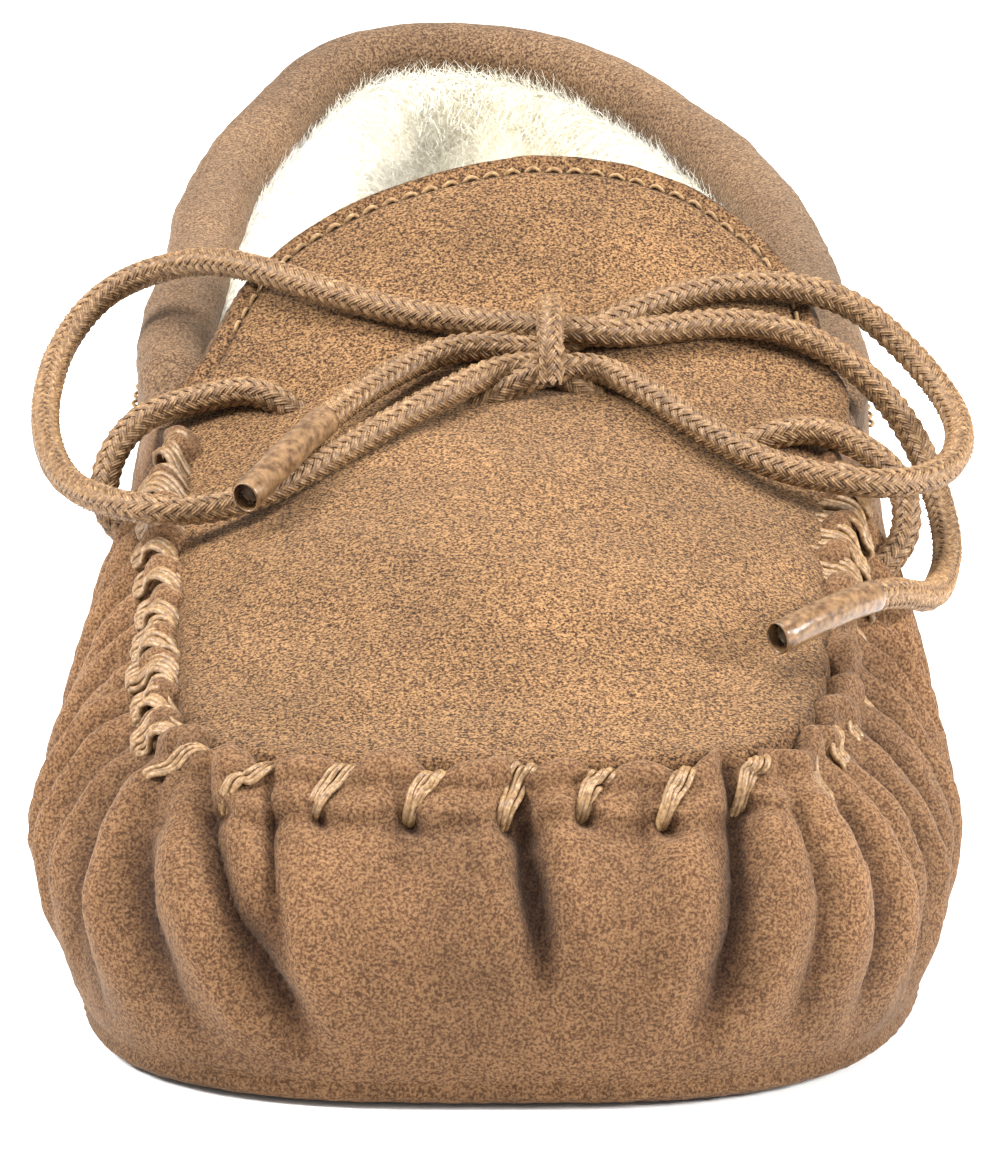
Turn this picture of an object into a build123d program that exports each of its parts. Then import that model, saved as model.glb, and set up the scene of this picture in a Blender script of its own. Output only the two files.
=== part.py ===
from build123d import *
import math
import os

import numpy as np

# Soft moccasin slipper, millimetres. Toe at -Y, heel at +Y, medial side at -X, floor at z = 0.

SUEDE = 1.6            # suede thickness
SHEET = SUEDE + 0.2    # apron and tongue thickness
GAP = 0.3              # clearance between facing soft pieces
PATCH = 2.0            # outsole patch thickness
BULGE_Z = 20.0         # height of the widest line of the wall
UNDERCUT = 9.0         # how far the wall tucks in at the floor
LEAN_TOE, LEAN_HEEL = 14.5, 3.0     # how far it leans in between the bulge and the rim
WALL = 2.0             # wall thickness measured level
PILE = 6.6             # fleece lining thickness
APRON_PILE, TONGUE_PILE = 4.6, 4.2  # fleece under the apron and under the tongue
PAD_INSET = WALL + PILE + 2 * GAP + 0.2     # from the wall's outside to the insoles
FOAM_TOP, INSOLE_TOP = 8.4, 15.4
HINGE_Y = -4.0         # line across the instep on which the tongue folds
HALF_WIDTH = 43.0      # half the width over which the apron is crowned
TONGUE_MID = (4, 6)    # middle of the tongue's outline
ROLL_W, ROLL_H = 8.8, 7.6           # collar roll, across and up
ROLL_INSET, ROLL_LIFT = 3.4, 0.35   # its middle inside the rim, its underside above it
WHIP_PITCH, WHIP_R = 9.0, 0.95      # seam stitches and half the width of their thread
THREAD_R = 0.38        # half the width of the machine stitches' thread
HEEL_X, STAY_W, STAY_TOP = -6.5, 15.0, 57.0
LACE_D = 3.8
WRAP_R = 1.75          # half the width of the strand round the bow's middle
AGLET_SKIN = 0.4       # thickness of the clear sleeve on a lace end

PLAN = [(0, -128), (24, -126), (42, -116), (51.5, -99), (55, -77), (54.5, -52), (53, -25),
        (51, 4), (49, 34), (47, 62), (42.8, 88), (36.2, 109), (26.5, 127.5), (12.5, 143.3),
        (-6.5, 150.5), (-24, 144.3), (-34, 128.5), (-40.6, 109), (-44.8, 88), (-47, 62),
        (-48.5, 34), (-50, 4), (-52, -25), (-54.5, -52), (-55, -77), (-53, -100),
        (-44.5, -117), (-25, -126.5)]
RIM = [(-135, 38.5), (-110, 38), (-90, 38.5), (-60, 43.5), (-18, 52), (-3, 50.4), (15, 50.6),
       (60, 53.4), (95, 56.5), (120, 60), (142, 63.6), (152, 64.6)]
BASE = [(-116, 38), (-100, 38.2), (-60, 43.5), (-16, 52.8), (4, 61.5), (28, 70)]
CROWN = [(-116, 0.3), (-100, 3.5), (-60, 9.5), (-14, 8), (4, 7.5), (28, 10)]


def _spline_controls(points):
    n = len(points)
    m = np.zeros((n, n))
    for i in range(n):
        m[i, i] = 4 / 6
        m[i, (i + 1) % n] = m[i, (i - 1) % n] = 1 / 6
    return np.linalg.solve(m, np.array(points, float))


CTRL = _spline_controls(PLAN)


def plan(u):
    """Point and outward normal of the widest outline, u in 0..1 from the toe towards +X."""
    s = (u % 1.0) * len(CTRL)
    i, t = int(s), s - int(s)
    b = [(1 - t) ** 3 / 6, (3 * t ** 3 - 6 * t * t + 4) / 6,
         (-3 * t ** 3 + 3 * t * t + 3 * t + 1) / 6, t ** 3 / 6]
    d = [-(1 - t) ** 2 / 2, (3 * t * t - 4 * t) / 2, (-3 * t * t + 2 * t + 1) / 2, t * t / 2]
    c = [CTRL[(i - 1 + k) % len(CTRL)] for k in range(4)]
    p = sum(b[k] * c[k] for k in range(4))
    q = sum(d[k] * c[k] for k in range(4))
    return p, np.array([q[1], -q[0]]) / math.hypot(*q)


def curve(tab, x):
    """Smooth curve through a short table."""
    if x <= tab[0][0]:
        return tab[0][1]
    if x >= tab[-1][0]:
        return tab[-1][1]
    i = max(k for k in range(len(tab) - 1) if tab[k][0] <= x)

    def slope(k):
        a, b = tab[max(k - 1, 0)], tab[min(k + 1, len(tab) - 1)]
        return (b[1] - a[1]) / (b[0] - a[0])
    h = tab[i + 1][0] - tab[i][0]
    t = (x - tab[i][0]) / h
    return ((2 * t ** 3 - 3 * t * t + 1) * tab[i][1] + (t ** 3 - 2 * t * t + t) * h * slope(i)
            + (3 * t * t - 2 * t ** 3) * tab[i + 1][1] + (t ** 3 - t * t) * h * slope(i + 1))


def step(a, b, x):
    t = min(1.0, max(0.0, (x - a) / (b - a)))
    return t * t * (3 - 2 * t)


def rim(y):
    return curve(RIM, y)


def lean(y):
    return LEAN_TOE - (LEAN_TOE - LEAN_HEEL) * step(-75, 25, y)


def inset(z, y):
    """How far the outer wall lies inside the widest outline at height z."""
    if z < BULGE_Z:
        return UNDERCUT * (1 - math.sqrt(1 - ((BULGE_Z - z) / BULGE_Z) ** 2))
    s = (z - BULGE_Z) / (rim(y) - BULGE_Z)
    s = min(s, 1.0) + 0.35 * (1 - math.exp(-max(0.0, s - 1) / 0.35))
    return lean(y) * s ** 1.8


def wall(u, z, deeper=0.0):
    p, n = plan(u)
    q = p - n * (inset(z, p[1]) + deeper)
    return q[0], q[1], z


def rim_point(u, deeper=0.0, up=0.0):
    y = plan(u)[0][1]
    q = wall(u, rim(y), deeper)
    return q[0], q[1], rim(y) + up


def top(x, y):
    """Upper surface of the apron and tongue."""
    xc = TONGUE_MID[0] * step(-60, 0, y)
    return curve(BASE, y) + curve(CROWN, y) * (1 - ((x - xc) / HALF_WIDTH) ** 2)


def ring(z, deeper=0.0, n=72):
    pts = [wall(k / n, z, deeper) for k in range(n)]
    return Wire([Spline(*[Vector(*p) for p in pts], periodic=True)])


def block(levels, deeper=0.0, n=72):
    return Solid.make_loft([ring(z, deeper, n) for z in levels])


LEVELS = [12, 20, 27, 33, 38, 43, 48, 53, 58, 64, 72]


def above(shift, toe_drop=0.0):
    """Everything above the rim line."""
    ys = [-165 + 6 * k for k in range(56)]
    pts = [Vector(0, y, rim(y) + shift - toe_drop * (1 - step(-6, 2, y))) for y in ys]
    edge = Spline(*pts)
    lid = Polyline(pts[-1], (0, 165, 140), (0, -165, 140), pts[0])
    return extrude(Face(Wire([edge] + list(lid.edges()))), amount=90, both=True, dir=(1, 0, 0))


def solid_of(shape):
    """The largest solid of a cut shape."""
    return max(shape.solids(), key=lambda q: q.volume)


def save(node, shapes):
    """Write one node and print what it holds."""
    shapes = shapes if isinstance(shapes, (list, tuple)) else [shapes]
    out = []
    for s in shapes:
        out.extend(s.solids())
    body = out[0] if len(out) == 1 else Compound(children=out)
    export_step(body, f"parts/{node}.step")
    ok = all(s.is_valid for s in out)
    print(f"{node:24s} solids {len(out):3d} valid {ok} volume {sum(s.volume for s in out):.0f}")


# ---------------------------------------------------------------- wall, lining, insoles

def make_vamp():
    outer = block([2, 4, 7] + LEVELS)
    inner = block([2 + SUEDE, 6] + LEVELS, WALL)
    return solid_of(outer - inner - above(0))


def make_lining():
    outer = block([4, 7] + LEVELS, WALL + GAP)
    inner = block([3.5, 7] + LEVELS, WALL + GAP + PILE)
    return solid_of(outer - inner - above(-GAP, 2.6))


def make_outsole_patch():
    w = Wire([Spline(*[Vector(*wall(k / 72, 2, 3.0)[:2], 0) for k in range(72)], periodic=True)])
    return extrude(Face(w), amount=PATCH - 0.02)


def make_foam():
    return block([4, 6, FOAM_TOP], PAD_INSET)


def make_insole():
    return block([FOAM_TOP + 0.1, 12, INSOLE_TOP], PAD_INSET)


# ---------------------------------------------------------------- apron and tongue

def between(y0, y1, drop, thick):
    """Solid between the apron surface lowered by drop and by drop + thick."""
    nx, ny = 13, 15
    xs = [-62 + 124 * i / (nx - 1) for i in range(nx)]
    ys = [y0 + (y1 - y0) * j / (ny - 1) for j in range(ny)]
    upper = Face.make_surface_from_array_of_points(
        [[Vector(x, y, top(x, y) - drop) for y in ys] for x in xs])
    return extrude(upper, amount=thick, dir=(0, 0, -1))


def apron_outline(deeper, y_end):
    """From the left hinge end round the toe to the right hinge end."""
    pts = [rim_point(k / 120, deeper)[:2] for k in range(-60, 60)]
    pts = [p for p in pts if p[1] < y_end - 1.5]
    return [(pts[0][0], y_end)] + pts + [(pts[-1][0], y_end)]


def prism(points):
    vs = [Vector(x, y, 0) for x, y in points]
    w = Wire([Spline(*vs), Line(vs[-1], vs[0])])
    return extrude(Face(w), amount=120, dir=(0, 0, 1))


def make_apron():
    return solid_of(between(-130, HINGE_Y + 12, 0, SHEET)
                    & prism(apron_outline(WALL + GAP, HINGE_Y - GAP)))


def make_apron_lining():
    return solid_of(between(-130, HINGE_Y + 12, SHEET + GAP, APRON_PILE)
                    & prism(apron_outline(WALL + PILE + 3 * GAP, HINGE_Y - GAP)))


TONGUE_EDGE = [(-36.8, -3.7), (-36.4, 4), (-33, 12.5), (-25, 19.5), (-12, 24.2), (3, 27), (16, 27.2),
               (28, 23.5), (36.6, 16), (40.9, 7), (41.6, -3.7)]


def tongue_outline(shrink):
    """The tongue's edge, drawn in towards its middle."""
    cx, cy = TONGUE_MID
    pts = []
    for x, y in TONGUE_EDGE:
        k = math.hypot(x - cx, y - cy)
        pts.append((x - (x - cx) / k * shrink, y - (y - cy) / k * shrink))
    return pts


def tongue_prism(shrink=0.0):
    pts = tongue_outline(shrink)
    pts[0] = (pts[0][0], HINGE_Y + GAP)
    pts[-1] = (pts[-1][0], HINGE_Y + GAP)
    return prism(pts)


def make_tongue():
    return solid_of(between(HINGE_Y - 10, 36, 0, SHEET) & tongue_prism())


def make_tongue_lining():
    return solid_of(between(HINGE_Y - 10, 36, SHEET + GAP, TONGUE_PILE) & tongue_prism(6.5))


# ---------------------------------------------------------------- collar

def collar_span(y_from):
    """u range of the outline that lies behind y_from, going round the heel."""
    us = [k / 600 for k in range(600) if plan(k / 600)[0][1] > y_from]
    return us[0], us[-1]


def collar_path(y_from=-2.5, n=44):
    u0, u1 = collar_span(y_from)
    return [Vector(*rim_point(u0 + (u1 - u0) * k / n, ROLL_INSET, ROLL_H / 2 + ROLL_LIFT))
            for k in range(n + 1)]


def swept_oval(path_pts, w, h):
    path = Spline(*path_pts)
    d = path % 0
    plane = Plane(origin=path @ 0, x_dir=Vector(0, 0, 1).cross(d).normalized(), z_dir=d)
    sec = plane * Ellipse(w / 2, h / 2)
    return sweep(sec, path=path, is_frenet=False, transition=Transition.ROUND)


def make_collar():
    """The suede roll and the foam cord inside it."""
    pts = collar_path()
    core_w, core_h, slack = ROLL_W - 2 * SUEDE, ROLL_H - 2 * SUEDE, 0.5
    outer = swept_oval(pts, ROLL_W, ROLL_H)
    core = swept_oval(pts, core_w, core_h)
    inner = swept_oval(pts, core_w + slack, core_h + slack)
    return solid_of(outer - inner), solid_of(core)


# ---------------------------------------------------------------- stitching and backstay

def rod(a, b, r):
    a, b = Vector(*a), Vector(*b)
    return Solid.make_cylinder(r, (b - a).length, Plane(origin=a, z_dir=b - a))


def seam_points(pitch, y_left, y_right):
    """Evenly spaced u values along the apron seam, from the left end round the toe."""
    us = [-0.5 + k / 2000 for k in range(2001)]
    us = [u for u in us if plan(u)[0][1] < (y_left if u < 0 else y_right)]
    out, run, last = [us[0]], 0.0, rim_point(us[0], 1)
    for u in us[1:]:
        p = rim_point(u, 1)
        run += math.dist(p, last)
        last = p
        if run >= pitch:
            out.append(u)
            run = 0.0
    return out


def make_whip_stitches():
    """Slanting loops from the apron over the seam and down into the wall."""
    out = []
    for u in seam_points(WHIP_PITCH, -20, -30):
        du = 1.9 / 800      # half the slant, along the outline
        y = plan(u)[0][1]
        a = rim_point(u + du, WALL + GAP + 4.2)
        a = (a[0], a[1], top(a[0], a[1]) + 1.35)
        m = rim_point(u, 1.2)
        m = (m[0], m[1], max(rim(y), top(m[0], m[1])) + 2.3)
        b = wall(u - du, rim(y) - 5.5, -1.5)
        arc = Edge.make_three_point_arc(Vector(*a), Vector(*m), Vector(*b))
        sec = Plane(origin=arc @ 0, z_dir=arc % 0) * Circle(WHIP_R)
        out.append(sweep(sec, path=arc))
    return out


def make_tongue_stitches():
    edge = Spline(*[Vector(x, y, 0) for x, y in tongue_outline(3.0)])
    n = int(edge.length / 3.1)
    out = []
    for k in range(1, n):
        p, q = edge @ ((k - 0.33) / n), edge @ ((k + 0.33) / n)
        if min(p.Y, q.Y) > HINGE_Y + 1.5:
            out.append(rod((p.X, p.Y, top(p.X, p.Y) + 0.5), (q.X, q.Y, top(q.X, q.Y) + 0.5), THREAD_R))
    return out


def make_collar_stitches():
    u0, u1 = collar_span(-1)
    n = 76
    out = []
    for k in range(n):
        ua, ub = (u0 + (u1 - u0) * (k + t) / n for t in (0.22, 0.78))
        za, zb = (rim(plan(v)[0][1]) - 2.6 for v in (ua, ub))
        out.append(rod(wall(ua, za, -0.7), wall(ub, zb, -0.7), 0.4))
    return out


def make_backstay():
    zs = [3, 7, 12, 20, 30, 40, 50, 62]
    skin = block(zs, -GAP - 1.4) - block(zs, -GAP)
    cut = Pos(HEEL_X, 150, 31) * Box(STAY_W, 40, STAY_TOP - 5)
    return solid_of(skin & cut)


def make_backstay_stitches():
    out = []
    heel = [k / 4000 for k in range(1700, 2300)]
    for side in (-1, 1):
        x = HEEL_X + side * (STAY_W / 2 - 2.2)
        u = min(heel, key=lambda v: abs(wall(v, 30)[0] - x))
        z = 9.0
        while z < STAY_TOP - 7:
            out.append(rod(wall(u, z, -2.25), wall(u, z + 2.2, -2.25), THREAD_R))
            z += 3.4
    return out


# ---------------------------------------------------------------- lace

LACE_LEFT = [
    (-45.6, -25.5, 40.5), (-50.6, -23.5, 43.5), (-50.4, -18.5, 49.6), (-46.2, -14.2, 54.6),
    (-38.2, -13.4, 56.8), (-30.5, -14.8, 58.6), (-23.5, -17, 53.6), (-15.5, -19.8, 53.6),
    (-7.5, -21.6, 54.6), (-1, -22.2, 59.6), (5.5, -20.6, 62.4), (12, -18.6, 62.6),
    (18.4, -24.2, 60.7), (24.8, -31.8, 58), (33, -38.5, 55), (41.5, -41, 53.6),
    (49, -39.5, 52.6), (55, -32.5, 52), (58.2, -23, 52.2), (59, -13, 53.4),
    (57, -4.5, 55.8), (52.6, 1.2, 60), (46.2, 4.4, 65), (38.8, 4.2, 67.4),
    (31, 2.2, 68.2), (23, -1.2, 67.6), (16, -6.2, 66.2), (10.4, -10.6, 64.4),
    (4.2, -13.2, 63.3), (-2.6, -12.8, 63.8), (-8.6, -14.8, 63.1), (-14.2, -20.8, 61.8),
    (-19.8, -30.4, 60.4), (-25.4, -42.4, 58.6), (-31, -54, 55.4)]
LACE_RIGHT = [
    (46.6, -36.5, 40), (51, -33.5, 42.5), (51.4, -29, 49), (47.2, -25.4, 53.2),
    (39.8, -24, 56), (33, -25.4, 55), (26.4, -24.8, 51.6), (19, -22.4, 53.6),
    (12.2, -20.6, 58.6), (6, -18.2, 62.8), (-1, -20.6, 62.4), (-8, -27.2, 60.6),
    (-15.4, -34, 58.2), (-22.6, -40.8, 55.6), (-29.4, -46.4, 53.2), (-36.8, -49.8, 51.8),
    (-44.6, -49.8, 52), (-51.2, -41, 51), (-55.6, -28, 50.2), (-58.2, -14, 51.2),
    (-59, -1, 53.2), (-57.6, 11.5, 57.2), (-52.6, 20.6, 62), (-45, 21.6, 65.4),
    (-37.4, 14.4, 68.2), (-30, 6, 68.6), (-22.4, -0.6, 67.6), (-14, -4.8, 66.2),
    (-6, -8, 65.8), (1.2, -11.2, 65.9), (8, -13, 66), (15.2, -12, 65),
    (22.4, -8.2, 65), (30, -4.8, 65), (37.6, -4.4, 63.6), (44.4, -6, 60.4),
    (49.8, -6.8, 55.6), (54, -8.4, 49.6), (56.4, -13, 43.6), (57.2, -22, 40),
    (56, -33, 39), (54, -45, 40), (51.4, -56.6, 43), (47.8, -67.2, 46.8),
    (41.8, -78, 48.6), (33.6, -86, 46.8)]
KNOT_WRAP = [(6.2, -25.2, 62), (6.2, -24.3, 66), (6.2, -20, 68.8), (6.2, -14, 69.4),
             (6.2, -9, 67.8), (6.2, -7.2, 64.2)]


def lace_path(points, name=""):
    """Straight runs joined by tangent arcs."""
    vs = [Vector(*p) for p in points]
    radii = []
    for a, b, c in zip(vs, vs[1:], vs[2:]):
        turn = (b - a).get_angle(c - b)
        radii.append(0.45 * min((b - a).length, (c - b).length) / math.tan(math.radians(turn) / 2))
    if name:
        print(name, "radii", " ".join(f"{r:.1f}" for r in radii))
    return FilletPolyline(*vs, radius=radii)


def tube(path, r, hollow=0.0):
    sec = Circle(r) if not hollow else Circle(r) - Circle(hollow)
    return sweep(Plane(origin=path @ 0, z_dir=path % 0) * sec, path=path, transition=Transition.ROUND)


def make_aglet(points):
    """Clear sleeve over the last bend and run of a lace, open at the tip."""
    es = lace_path(points).edges()
    arc = es[-2]
    end, way = Vector(*points[-1]), (Vector(*points[-1]) - Vector(*points[-2])).normalized()
    path = Wire([arc, Line(arc @ 1, end + way * 1.4).edge()])
    return tube(path, LACE_D / 2 + 0.05 + AGLET_SKIN, LACE_D / 2 + 0.05)


if __name__ == "__main__":
    os.makedirs("parts", exist_ok=True)
    left, right = lace_path(LACE_LEFT, "lace_left"), lace_path(LACE_RIGHT, "lace_right")
    for name, path in (("lace_left", left), ("lace_right", right)):
        t = tube(path, LACE_D / 2)
        print(name, "length", round(path.length, 1), "volume ratio",
              round(t.volume / (path.length * math.pi * LACE_D ** 2 / 4), 3))
        save(name, t)
    save("lace_knot_wrap", tube(Spline(*[Vector(*p) for p in KNOT_WRAP]), WRAP_R))
    save("aglet_left", make_aglet(LACE_LEFT))
    save("aglet_right", make_aglet(LACE_RIGHT))
    bore_r = LACE_D / 2 + GAP
    bores = [tube(lace_path(run), bore_r) for run in (LACE_LEFT[4:12], LACE_RIGHT[4:11])]
    roots = [tube(lace_path(run), bore_r) for run in (LACE_LEFT[:3], LACE_RIGHT[:3])]

    def cut(body, tools):
        for t in tools:
            body = body - t
        return solid_of(body)

    save("vamp", cut(make_vamp(), roots))
    save("fleece_lining", cut(make_lining(), roots))
    save("outsole_patch", make_outsole_patch())
    save("insole_foam", make_foam())
    save("fleece_insole", make_insole())
    save("apron", cut(make_apron(), bores))
    save("apron_lining", cut(make_apron_lining(), bores))
    save("tongue", make_tongue())
    save("tongue_lining", make_tongue_lining())
    skin, core = make_collar()
    save("collar_roll", skin)
    save("collar_core", core)
    save("seam_stitches", make_whip_stitches())
    save("tongue_stitches", make_tongue_stitches())
    save("collar_stitches", make_collar_stitches())
    save("heel_backstay", make_backstay())
    save("backstay_stitches", make_backstay_stitches())
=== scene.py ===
import bmesh
import bpy
import math
import numpy as np
from mathutils import Matrix, Vector


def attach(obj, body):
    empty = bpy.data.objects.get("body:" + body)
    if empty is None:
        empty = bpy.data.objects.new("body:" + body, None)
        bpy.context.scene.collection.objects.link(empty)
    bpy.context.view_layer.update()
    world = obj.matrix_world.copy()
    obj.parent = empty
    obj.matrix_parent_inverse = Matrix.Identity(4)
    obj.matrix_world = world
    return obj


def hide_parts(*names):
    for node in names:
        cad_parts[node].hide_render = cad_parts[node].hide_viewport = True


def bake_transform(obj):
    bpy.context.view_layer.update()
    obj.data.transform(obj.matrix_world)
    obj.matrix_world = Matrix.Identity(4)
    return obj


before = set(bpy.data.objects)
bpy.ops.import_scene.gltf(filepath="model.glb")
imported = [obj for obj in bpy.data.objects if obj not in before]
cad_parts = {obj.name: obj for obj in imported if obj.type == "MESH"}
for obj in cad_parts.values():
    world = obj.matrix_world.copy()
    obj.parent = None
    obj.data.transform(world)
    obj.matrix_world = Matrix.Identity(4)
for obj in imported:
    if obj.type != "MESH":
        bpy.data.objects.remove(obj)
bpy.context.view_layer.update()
MM = 0.001
RNG = np.random.default_rng(11)

# ------------------------------------------------------------------ shape, in millimetres
BULGE_Z = 20.0         # height of the widest line of the wall
UNDERCUT = 9.0         # how far the wall tucks in at the floor
LEAN_TOE, LEAN_HEEL = 14.5, 3.0     # how far it leans in between the bulge and the rim
WALL_T, PILE, GAP = 2.0, 6.6, 0.3   # wall, fleece lining, clearance
PAD_INSET = WALL_T + PILE + 2 * GAP + 0.2       # from the wall's outside to the insoles
SHEET_T = 1.75         # apron and tongue thickness
HALF_WIDTH = 43.0      # half the width over which the apron is crowned
TONGUE_MID = np.array([4.0, 6.0])
HEEL_X = -6.5
BOTTOM_Z = 28.0        # below this height the wall is laid out level, above it follows the edge
LACE_D = 3.8
PLAN = [(0, -128), (24, -126), (42, -116), (51.5, -99), (55, -77), (54.5, -52), (53, -25),
        (51, 4), (49, 34), (47, 62), (42.8, 88), (36.2, 109), (26.5, 127.5), (12.5, 143.3),
        (-6.5, 150.5), (-24, 144.3), (-34, 128.5), (-40.6, 109), (-44.8, 88), (-47, 62),
        (-48.5, 34), (-50, 4), (-52, -25), (-54.5, -52), (-55, -77), (-53, -100),
        (-44.5, -117), (-25, -126.5)]
RIM = [(-135, 38.5), (-110, 38), (-90, 38.5), (-60, 43.5), (-18, 52), (-3, 50.4), (15, 50.6),
       (60, 53.4), (95, 56.5), (120, 60), (142, 63.6), (152, 64.6)]
BASE = [(-116, 38), (-100, 38.2), (-60, 43.5), (-16, 52.8), (4, 61.5), (28, 70)]
CROWN = [(-116, 0.3), (-100, 3.5), (-60, 9.5), (-14, 8), (4, 7.5), (28, 10)]
LACE_LEFT = [
    (-45.6, -25.5, 40.5), (-50.6, -23.5, 43.5), (-50.4, -18.5, 49.6), (-46.2, -14.2, 54.6),
    (-38.2, -13.4, 56.8), (-30.5, -14.8, 58.6), (-23.5, -17, 53.6), (-15.5, -19.8, 53.6),
    (-7.5, -21.6, 54.6), (-1, -22.2, 59.6), (5.5, -20.6, 62.4), (12, -18.6, 62.6),
    (18.4, -24.2, 60.7), (24.8, -31.8, 58), (33, -38.5, 55), (41.5, -41, 53.6),
    (49, -39.5, 52.6), (55, -32.5, 52), (58.2, -23, 52.2), (59, -13, 53.4),
    (57, -4.5, 55.8), (52.6, 1.2, 60), (46.2, 4.4, 65), (38.8, 4.2, 67.4),
    (31, 2.2, 68.2), (23, -1.2, 67.6), (16, -6.2, 66.2), (10.4, -10.6, 64.4),
    (4.2, -13.2, 63.3), (-2.6, -12.8, 63.8), (-8.6, -14.8, 63.1), (-14.2, -20.8, 61.8),
    (-19.8, -30.4, 60.4), (-25.4, -42.4, 58.6), (-31, -54, 55.4)]
LACE_RIGHT = [
    (46.6, -36.5, 40), (51, -33.5, 42.5), (51.4, -29, 49), (47.2, -25.4, 53.2),
    (39.8, -24, 56), (33, -25.4, 55), (26.4, -24.8, 51.6), (19, -22.4, 53.6),
    (12.2, -20.6, 58.6), (6, -18.2, 62.8), (-1, -20.6, 62.4), (-8, -27.2, 60.6),
    (-15.4, -34, 58.2), (-22.6, -40.8, 55.6), (-29.4, -46.4, 53.2), (-36.8, -49.8, 51.8),
    (-44.6, -49.8, 52), (-51.2, -41, 51), (-55.6, -28, 50.2), (-58.2, -14, 51.2),
    (-59, -1, 53.2), (-57.6, 11.5, 57.2), (-52.6, 20.6, 62), (-45, 21.6, 65.4),
    (-37.4, 14.4, 68.2), (-30, 6, 68.6), (-22.4, -0.6, 67.6), (-14, -4.8, 66.2),
    (-6, -8, 65.8), (1.2, -11.2, 65.9), (8, -13, 66), (15.2, -12, 65),
    (22.4, -8.2, 65), (30, -4.8, 65), (37.6, -4.4, 63.6), (44.4, -6, 60.4),
    (49.8, -6.8, 55.6), (54, -8.4, 49.6), (56.4, -13, 43.6), (57.2, -22, 40),
    (56, -33, 39), (54, -45, 40), (51.4, -56.6, 43), (47.8, -67.2, 46.8),
    (41.8, -78, 48.6), (33.6, -86, 46.8)]
KNOT_WRAP = [(6.2, -25.2, 62), (6.2, -24.3, 66), (6.2, -20, 68.8), (6.2, -14, 69.4),
             (6.2, -9, 67.8), (6.2, -7.2, 64.2)]
TONGUE_EDGE = [(-36.8, -3.7), (-36.4, 4), (-33, 12.5), (-25, 19.5), (-12, 24.2), (3, 27), (16, 27.2),
               (28, 23.5), (36.6, 16), (40.9, 7), (41.6, -3.7)]


def controls(points):
    """Control points of the closed curve that passes through the points."""
    n = len(points)
    m = np.zeros((n, n))
    for i in range(n):
        m[i, i] = 4 / 6
        m[i, (i + 1) % n] = m[i, (i - 1) % n] = 1 / 6
    return np.linalg.solve(m, np.array(points, float))


CTRL = controls(PLAN)


def plan(u):
    """Points and outward normals of the widest outline, u in 0..1 from the toe towards +X."""
    s = np.mod(np.asarray(u, float), 1.0) * len(CTRL)
    i = s.astype(int)
    t = s - i
    b = [(1 - t) ** 3 / 6, (3 * t ** 3 - 6 * t * t + 4) / 6,
         (-3 * t ** 3 + 3 * t * t + 3 * t + 1) / 6, t ** 3 / 6]
    d = [-(1 - t) ** 2 / 2, (3 * t * t - 4 * t) / 2, (-3 * t * t + 2 * t + 1) / 2, t * t / 2]
    p, q = 0, 0
    for k in range(4):
        c = CTRL[(i - 1 + k) % len(CTRL)]
        p = p + b[k][..., None] * c
        q = q + d[k][..., None] * c
    q = q / np.linalg.norm(q, axis=-1, keepdims=True)
    return p, np.stack([q[..., 1], -q[..., 0]], -1)


def curve(tab, x):
    """Smooth curve through a short table."""
    xs, ys = np.array(tab, float).T
    m = np.empty(len(xs))
    m[1:-1] = (ys[2:] - ys[:-2]) / (xs[2:] - xs[:-2])
    m[0], m[-1] = (ys[1] - ys[0]) / (xs[1] - xs[0]), (ys[-1] - ys[-2]) / (xs[-1] - xs[-2])
    x = np.clip(np.asarray(x, float), xs[0], xs[-1])
    i = np.clip(np.searchsorted(xs, x, side="right") - 1, 0, len(xs) - 2)
    h = xs[i + 1] - xs[i]
    t = (x - xs[i]) / h
    return ((2 * t ** 3 - 3 * t * t + 1) * ys[i] + (t ** 3 - 2 * t * t + t) * h * m[i]
            + (3 * t * t - 2 * t ** 3) * ys[i + 1] + (t ** 3 - t * t) * h * m[i + 1])


def step(a, b, x):
    """Smooth step from 0 at a to 1 at b."""
    t = np.clip((np.asarray(x, float) - a) / (b - a), 0, 1)
    return t * t * (3 - 2 * t)


def rim(y):
    """Height of the wall's upper edge."""
    return curve(RIM, y)


def inset(z, y):
    """How far the outer wall lies inside the widest outline at height z."""
    low = UNDERCUT * (1 - np.sqrt(np.clip(1 - ((BULGE_Z - z) / BULGE_Z) ** 2, 0, 1)))
    s = np.clip((z - BULGE_Z) / (rim(y) - BULGE_Z), 0, None)
    s = np.minimum(s, 1) + 0.35 * (1 - np.exp(-np.clip(s - 1, 0, None) / 0.35))
    lean = LEAN_TOE - (LEAN_TOE - LEAN_HEEL) * step(-75, 25, y)
    return np.where(z < BULGE_Z, low, lean * s ** 1.8)


def wall(u, z, deeper=0.0):
    """Points on the plain outer wall, or a distance deeper than it."""
    p, n = plan(u)
    q = p - n * (inset(z, p[..., 1]) + deeper)[..., None]
    return np.stack([q[..., 0], q[..., 1], z + 0 * q[..., 0]], -1)


def rim_point(u, deeper=0.0, up=0.0):
    y = plan(u)[0][..., 1]
    q = wall(u, rim(y), deeper)
    q[..., 2] += up
    return q


def top(x, y):
    """Upper surface of the apron and tongue."""
    xc = TONGUE_MID[0] * step(-60, 0, y)
    return curve(BASE, y) + curve(CROWN, y) * (1 - ((x - xc) / HALF_WIDTH) ** 2)


def level(v):
    """Plan vectors as space vectors with no height."""
    return np.concatenate([v, np.zeros(v.shape[:-1] + (1,))], -1)


def at_height(xy, z):
    """Plan points as space points, all at one height."""
    return np.column_stack([xy, np.full(len(xy), z)])


def bell(x, width, power=2):
    """1 at x = 0, fading over the width."""
    return np.exp(-(np.abs(x) / width) ** power)


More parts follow.
